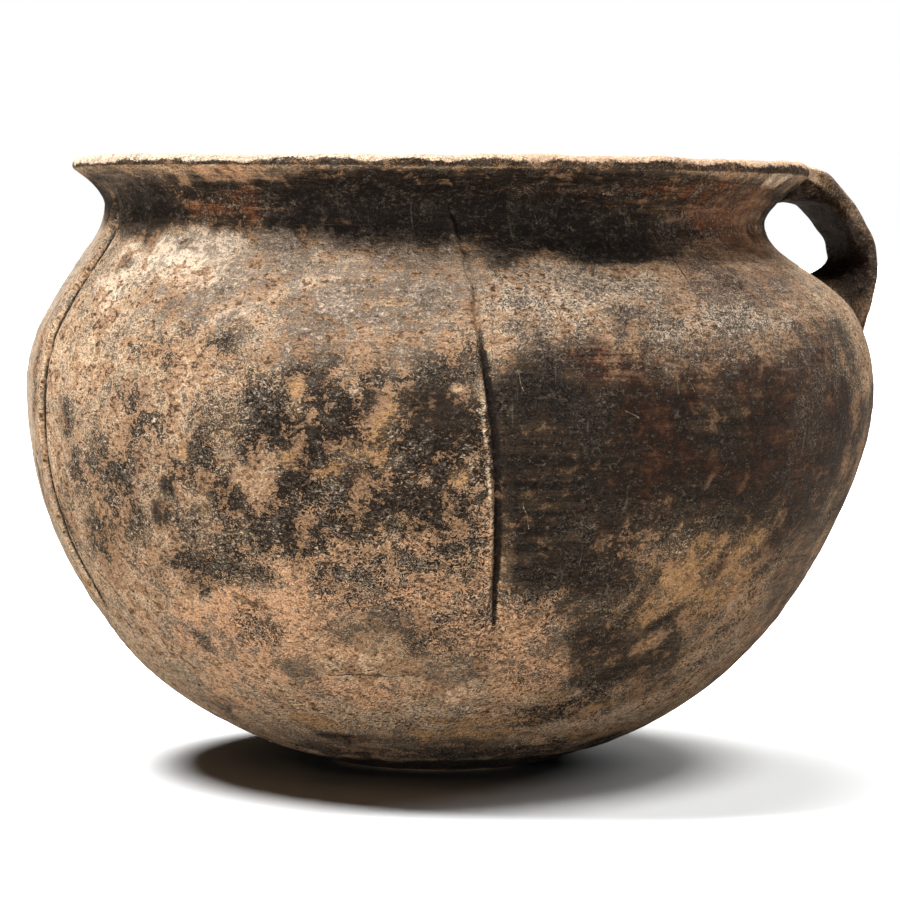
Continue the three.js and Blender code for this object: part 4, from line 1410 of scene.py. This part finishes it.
def rib_maker():
    heights = {"Rise": 1.7 * MM, "Sink": 0.9 * MM, "Root": 2.4 * MM}
    m = Maker("rib_on_wall", {**heights, "Crest": 0.8, "Unevenness": 1.6, "Seed": RIB_SEED})
    across, share, web, top = (m.named(guide) for guide in RIB_GUIDES[:4])
    position = m.joined("GeometryNodeInputPosition", "Position")
    uneven = m.noise(position, 60.0, 3.0, 0.6, seed=m.given["Seed"])
    strength = m.times(m.step(share, *RIB_STARTS), m.step(share, *RIB_ENDS, 1.0, 0.0))
    rise = m.times(m.given["Rise"], strength, m.total(m.times(uneven, m.given["Unevenness"]), 1.0))
    full = m.total(rise, web)
    bank = m.sums("POWER", m.step(across, 0.0, m.given["Crest"]), 1.4)
    drop = m.step(across, m.total(m.given["Crest"], 0.02), 1.0)
    stand = m.total(m.times(full, bank), m.times(drop, m.total(full, m.given["Sink"]), -1.0), -0.1 * MM)
    under = m.sums("MINIMUM", m.total(stand, -0.5 * MM), m.times(m.given["Root"], -1.0))
    height = m.total(under, m.times(top, m.total(stand, (under, -1.0))))
    scaled = {"Vector": m.named("outward", "FLOAT_VECTOR"), "Scale": height}
    offset = m.joined("ShaderNodeVectorMath", "Vector", scaled, operation="SCALE")
    raised = {"Geometry": m.given["Geometry"], "Offset": offset}
    return m.close(m.joined("GeometryNodeSetPosition", "Geometry", raised))


def build_rib(maker, name, material):
    rib = RIBS[name]
    rows = np.arange(along_at(RIB_BOTTOM), along_at(RIB_TOP), RIB_ROW_STEP)
    coarse, fine = np.linspace(RIB_LEFT, RIB_FINE_FROM, 12), np.linspace(RIB_FINE_FROM, RIB_RIGHT, 18)
    aside = np.concatenate([coarse, fine[1:]])
    along, offset = np.meshgrid(rows, aside, indexing="ij")
    line, share = rib_line(rib, along)
    radius, height, radial, upward = outline_at(along)
    strength = within(share, *RIB_STARTS, *RIB_ENDS)
    wander = swells(place(radius, line, height), (0.4, 34, 61), (0.2, 11, 62), (0.14, 5, 65))
    lean = wander * strength * smoothstep(offset, RIB_LEFT, RIB_CREST)
    azimuth = line + np.degrees((offset * (0.35 + 0.65 * strength) + lean) / radius)
    strip = wall_place(azimuth, along).reshape(-1, 3)
    # The crest: pale wear with a painted highlight
    crest = bump(offset, RIB_CREST, 1.2) * strength * (0.3 + 0.7 * smoothstep(share, 0.3, 0.45))
    # Painted shade on the rib's steep face, laid on as soot
    drop = smoothstep(offset, RIB_CREST + 0.3, RIB_RIGHT)
    at_top = min(0.65 * rib.groove, 1.0)
    painted_face_shade = rib.soot * np.clip(drop * 1.3, 0, 1) * strength
    painted_face_shade = painted_face_shade * (at_top + (1 - at_top) * smoothstep(share, 0.25, 0.45))
    paint = wall_paint(azimuth, along)
    paint["wear_and_highlight"] = rib.wear * crest
    paint["soot"] = np.maximum(paint["soot"] * (1 - 0.2 * crest), 1.05 * painted_face_shade)
    paint["even"] = np.maximum(paint["even"], 0.5 * painted_face_shade)
    paint["across"] = (offset - RIB_LEFT) / (RIB_RIGHT - RIB_LEFT)
    paint["share"] = share
    paint["web"] = RIB_WEB * MM * bump(height, NECK_HEIGHT, 11.0) * smoothstep(share, *RIB_STARTS)
    paint["outward"] = place(radial, azimuth, upward)
    count = along.size
    both = {key: np.concatenate([v.reshape(count, -1)] * 2).squeeze() for key, v in paint.items()}
    both["top"] = np.repeat([1.0, 0.0], count)
    piece = make_mesh(name, np.concatenate([strip, strip]), shell_faces(*along.shape), both)
    sizes = {
        "Rise": rib.rise * MM,
        "Crest": (RIB_CREST - RIB_LEFT) / (RIB_RIGHT - RIB_LEFT),
        "Unevenness": rib.rise**2,
        "Seed": RIB_SEED + list(RIBS).index(name),
    }
    maker.run(piece, material, **sizes)
    for guide in RIB_GUIDES:
        piece.data.attributes.remove(piece.data.attributes[guide])
    return piece


# Grains of sand in the clay and the crust on the rim, scattered over a stretch of wall by a tree


CRUST_MIDDLE = front(170, 192)


def grain_maker():
    sizes = {"Density": 6000.0, "Smallest": 0.22 * MM, "Largest": 0.6 * MM, "Flatness": 0.6, "Seed": 5}
    m = Maker("grains_on_wall", sizes)
    seed, smallest, largest = (m.given[size] for size in ("Seed", "Smallest", "Largest"))
    density = m.times(m.given["Density"], m.named("crowding"))
    spread_on = {"Mesh": m.given["Geometry"], "Density": density, "Seed": seed}
    scatter = m.node("GeometryNodeDistributePointsOnFaces", spread_on, distribute_method="RANDOM")
    chance = m.node("FunctionNodeRandomValue", {"Seed": seed}, data_type="FLOAT")
    share = m.sums("POWER", next(s for s in chance.outputs if s.type == "VALUE"), 3.0)
    size = m.total(smallest, m.times(share, m.total(largest, (smallest, -1.0))))
    flat = {"X": size, "Y": size, "Z": m.times(size, m.given["Flatness"])}
    laid = {
        "Points": scatter.outputs["Points"],
        "Instance": m.joined("GeometryNodeMeshIcoSphere", "Mesh", {"Radius": 1.0, "Subdivisions": 1}),
        "Rotation": scatter.outputs["Rotation"],
        "Scale": m.joined("ShaderNodeCombineXYZ", "Vector", flat),
    }
    return m.close(m.joined("GeometryNodeInstanceOnPoints", "Instances", laid))


def wall_patch(name, azimuth, along, sunk, paint):
    """A piece of plain wall for grains to lie on."""
    points = wall_place(azimuth, along, -sunk).reshape(-1, 3)
    return make_mesh(name, points, grid_faces(*along.shape), flat_paint(paint))


def build_grains(maker, material):
    alongs = np.arange(GRAINS_ABOVE_FOOT, OUTLINE_LENGTH - GRAINS_BELOW_LIP, 6.0)
    azimuth, along = np.meshgrid(np.arange(-180.0, 180.1, 2.5), alongs)
    paint = wall_paint(azimuth, along)
    paint["crowding"] = paint["grit"] * (1.15 - 0.75 * np.clip(paint["soot"], 0, 1.2))
    paint["wear_and_highlight"] = 0.36 * (1.0 - 0.5 * np.clip(paint["soot"], 0, 1))
    return maker.run(wall_patch("temper_grains", azimuth, along, GRAINS_SUNK, paint), material)


def build_crust(maker, material):
    middle_azimuth, middle_along = CRUST_MIDDLE
    reach = np.degrees(2.0 * CRUST_HALF_WIDTH / NECK_RADIUS)
    azimuths = np.linspace(middle_azimuth - reach, middle_azimuth + reach, 30)
    alongs = np.linspace(middle_along - 12.0, middle_along + 8.0, 16)
    azimuth, along = np.meshgrid(azimuths, alongs)
    across = np.radians(azimuth - middle_azimuth) * NECK_RADIUS / CRUST_HALF_WIDTH
    up = (along - middle_along) / CRUST_HALF_HEIGHT
    ragged = 0.3 * waves(place(FLOW_RADIUS, azimuth, along), 12, 91)
    paint = wall_paint(azimuth, along)
    paint["crowding"] = 1.0 - smoothstep(np.hypot(across, up) + ragged, 0.5, 1.3)
    paint["wear_and_highlight"] = np.full_like(along, 0.16)
    piece = wall_patch("rim_crust", azimuth, along, CRUST_SUNK, paint)
    coarse = {"Smallest": 0.4 * MM, "Largest": 2.0 * MM, "Flatness": 0.4}
    return maker.run(piece, material, Density=150000.0, Seed=9, **coarse)


# Hair cracks and scratches: thin threads swept by a tree along lines on the wall


# Each line by the pixels of the view that it passes
CRACKS = [
    [(327, 678), (355, 677), (392, 679.5), (412, 677.5)],
    [(652, 225), (672, 257), (690, 282)],
]
SCRATCHES = [
    [(685, 375), (697, 391)],
    [(625, 410), (640, 419)],
    [(519, 374), (523, 392)],
    [(526, 500), (527, 530)],
    [(302, 257), (314, 252), (320, 248)],
]


def line_maker():
    m = Maker("lines_on_wall", {"Width": 0.4 * MM, "Unevenness": 3.0, "Seed": 3})
    position = m.joined("GeometryNodeInputPosition", "Position")
    uneven = m.noise(position, 400.0, 2.0, seed=m.given["Seed"])
    line = m.joined("GeometryNodeMeshToCurve", "Curve", {"Mesh": m.given["Geometry"]})
    thick = m.sums("MAXIMUM", m.total(m.times(uneven, m.given["Unevenness"]), 1.0), 0.25)
    round_section = {"Resolution": 6, "Radius": m.times(m.given["Width"], 0.5)}
    section = m.joined("GeometryNodeCurvePrimitiveCircle", "Curve", round_section)
    swept = {"Curve": line, "Profile Curve": section, "Scale": thick, "Fill Caps": True}
    return m.close(m.joined("GeometryNodeCurveToMesh", "Mesh", swept))


def build_lines(maker, name, lines, finish, wear_and_highlight, material, width):
    places, edges = [], []
    for line in lines:
        stops = np.array([front(*pixel) for pixel in line])
        way = lengths(stops)
        fine = np.linspace(0.0, way[-1], max(8, int(way[-1] / LINE_STEP)))
        azimuth, along = (np.interp(fine, way, stops[:, k]) for k in (0, 1))
        shift = waves(place(FLOW_RADIUS, azimuth, along), 9, 95)
        first = len(places)
        places.extend(zip(azimuth + 0.12 * shift, along + 0.25 * shift))
        edges.extend((first + k, first + k + 1) for k in range(len(fine) - 1))
    azimuth, along = np.array(places).T
    paint = wall_paint(azimuth, along)
    paint.update(plain_finish(finish, along.shape))
    paint["wear_and_highlight"] = np.full_like(along, wear_and_highlight)
    piece = make_mesh(name, wall_place(azimuth, along, -LINE_SUNK), [], paint, edges=edges)
    return maker.run(piece, material, Width=width * MM)


# Stage


FLOOR_HALF = 40.0  # metres
FLOOR_SEEN = (0.3, 0.3, 0.3, 1.0)
FLOOR_BOUNCE = (0.088, 0.081, 0.073, 1.0)


def build_stage():
    mesh = bpy.data.meshes.new("floor")
    corners = [(x * FLOOR_HALF, y * FLOOR_HALF, 0) for x, y in ((-1, -1), (1, -1), (1, 1), (-1, 1))]
    mesh.from_pydata(corners, [], [(0, 1, 2, 3)])
    floor = bpy.data.objects.new("floor", mesh)
    bpy.context.scene.collection.objects.link(floor)
    s = Shader("pale_floor")
    camera_ray = s.joined("ShaderNodeLightPath", "Is Camera Ray")
    s.feed(s.surface["Base Color"], s.blend(camera_ray, FLOOR_BOUNCE, FLOOR_SEEN))
    s.surface["Roughness"].default_value = 1.0
    s.surface["Specular IOR Level"].default_value = 0.0
    mesh.materials.append(s.material)
    return floor


# Each light: azimuth from the front and height above the floor in degrees, strength, softness in degrees
JAR_LIGHTS = {
    "key_left": (-97.0, 60.0, 3.0, 20.0),
    "key_right": (146.0, 61.0, 2.9, 32.0),
    "above_front": (20.0, 80.0, 1.6, 18.0),
    "front": (-29.0, 0.7, 2.75, 3.0),
    "fill_right": (84.0, 14.0, 0.7, 40.0),
}
FLOOR_LIGHTS = {
    "floor_left": (-98.0, 64.5, 13.0, 16.0),
    "floor_back_left": (-126.0, 70.0, 6.5, 24.0),
    "floor_right": (95.0, 65.0, 7.0, 20.0),
    "floor_low_right": (116.0, 37.0, 3.0, 38.0),
    "floor_back": (180.0, 67.0, 6.2, 25.0),
}
ROOM_LIGHT = 0.02
ROOM_SEEN = 1.0


def add_lights(lights, floor, on_floor):
    """Soft, even lights from their directions, on the floor alone or on everything but the floor."""
    lit = bpy.data.collections.new("floor_lit" if on_floor else "jar_lit")
    lit.objects.link(floor)
    lit.collection_objects[0].light_linking.link_state = "INCLUDE" if on_floor else "EXCLUDE"
    for name, (azimuth, elevation, strength, softness) in lights.items():
        light = bpy.data.lights.new(name, "SUN")
        light.energy = strength
        light.angle = math.radians(softness)
        lamp = bpy.data.objects.new(name, light)
        lamp.rotation_euler = (math.radians(90.0 - elevation), 0.0, math.radians(azimuth))
        lamp.light_linking.receiver_collection = lit
        bpy.context.scene.collection.objects.link(lamp)


def build_room():
    """A white room that the camera sees bright and that lights the jar only a little."""
    world = bpy.data.worlds.new("studio")
    world.use_nodes = True
    room = Nodes(world.node_tree)
    camera_ray = room.joined("ShaderNodeLightPath", "Is Camera Ray")
    levels = {"Value": camera_ray, "To Min": ROOM_LIGHT, "To Max": ROOM_SEEN}
    background = world.node_tree.nodes["Background"].inputs
    background["Color"].default_value = (1.0, 1.0, 1.0, 1.0)
    room.feed(background["Strength"], room.joined("ShaderNodeMapRange", "Result", levels))
    bpy.context.scene.world = world
    bpy.context.scene.view_settings.view_transform = "Standard"


def build_camera():
    camera = bpy.data.cameras.new("camera")
    camera.sensor_width = SENSOR_WIDTH
    camera.lens = SENSOR_WIDTH * CAMERA_FOCAL / PHOTO_SIZE
    holder = bpy.data.objects.new("camera", camera)
    holder.location = (CAMERA_SIDE * MM, -CAMERA_DISTANCE * MM, CAMERA_HEIGHT * MM)
    holder.rotation_euler = (math.pi / 2 - CAMERA_PITCH, 0.0, 0.0)
    bpy.context.scene.collection.objects.link(holder)
    bpy.context.scene.camera = holder


# Put together


SLOTS = {
    "base_bowl": "terracotta_base",
    "lower_course": "terracotta_body",
    "belly_course": "terracotta_body",
    "shoulder_course": "terracotta_body",
    "neck_collar": "terracotta_body",
    "flared_rim": "terracotta_rim",
    "strap_handle": "terracotta_handle",
    "handle_lip_luting": "terracotta_handle",
    "handle_foot_luting": "terracotta_handle",
    "rib_front": "terracotta_ribs",
    "rib_left": "terracotta_ribs",
    "rib_back": "terracotta_ribs",
}

materials = {slot: clay(slot) for slot in sorted(set(SLOTS.values()))}
pieces = build_vessel()
pieces["strap_handle"] = build_strap()
pieces["handle_foot_luting"] = build_foot_luting()
pieces["handle_lip_luting"] = build_lip_luting()
for node, piece in pieces.items():
    piece.data.materials.append(materials[SLOTS[node]])
rib_tree = rib_maker()
for rib_name in RIBS:
    pieces[rib_name] = build_rib(rib_tree, rib_name, materials[SLOTS[rib_name]])
for node, piece in pieces.items():
    piece.name = "clay_" + node
    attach(piece, "root")
    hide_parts(node)

body, rim = materials["terracotta_body"], materials["terracotta_rim"]
grain_tree, line_tree = grain_maker(), line_maker()
traces = [
    build_grains(grain_tree, body),
    build_crust(grain_tree, rim),
    build_lines(line_tree, "hair_cracks", CRACKS, "soot_and_shade", 0.0, body, CRACK_WIDTH),
    build_lines(line_tree, "scratches", SCRATCHES, "dull_brown", 0.35, body, SCRATCH_WIDTH),
]
for piece in traces:
    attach(piece, "root")

floor = build_stage()
add_lights(JAR_LIGHTS, floor, on_floor=False)
add_lights(FLOOR_LIGHTS, floor, on_floor=True)
build_room()
build_camera()
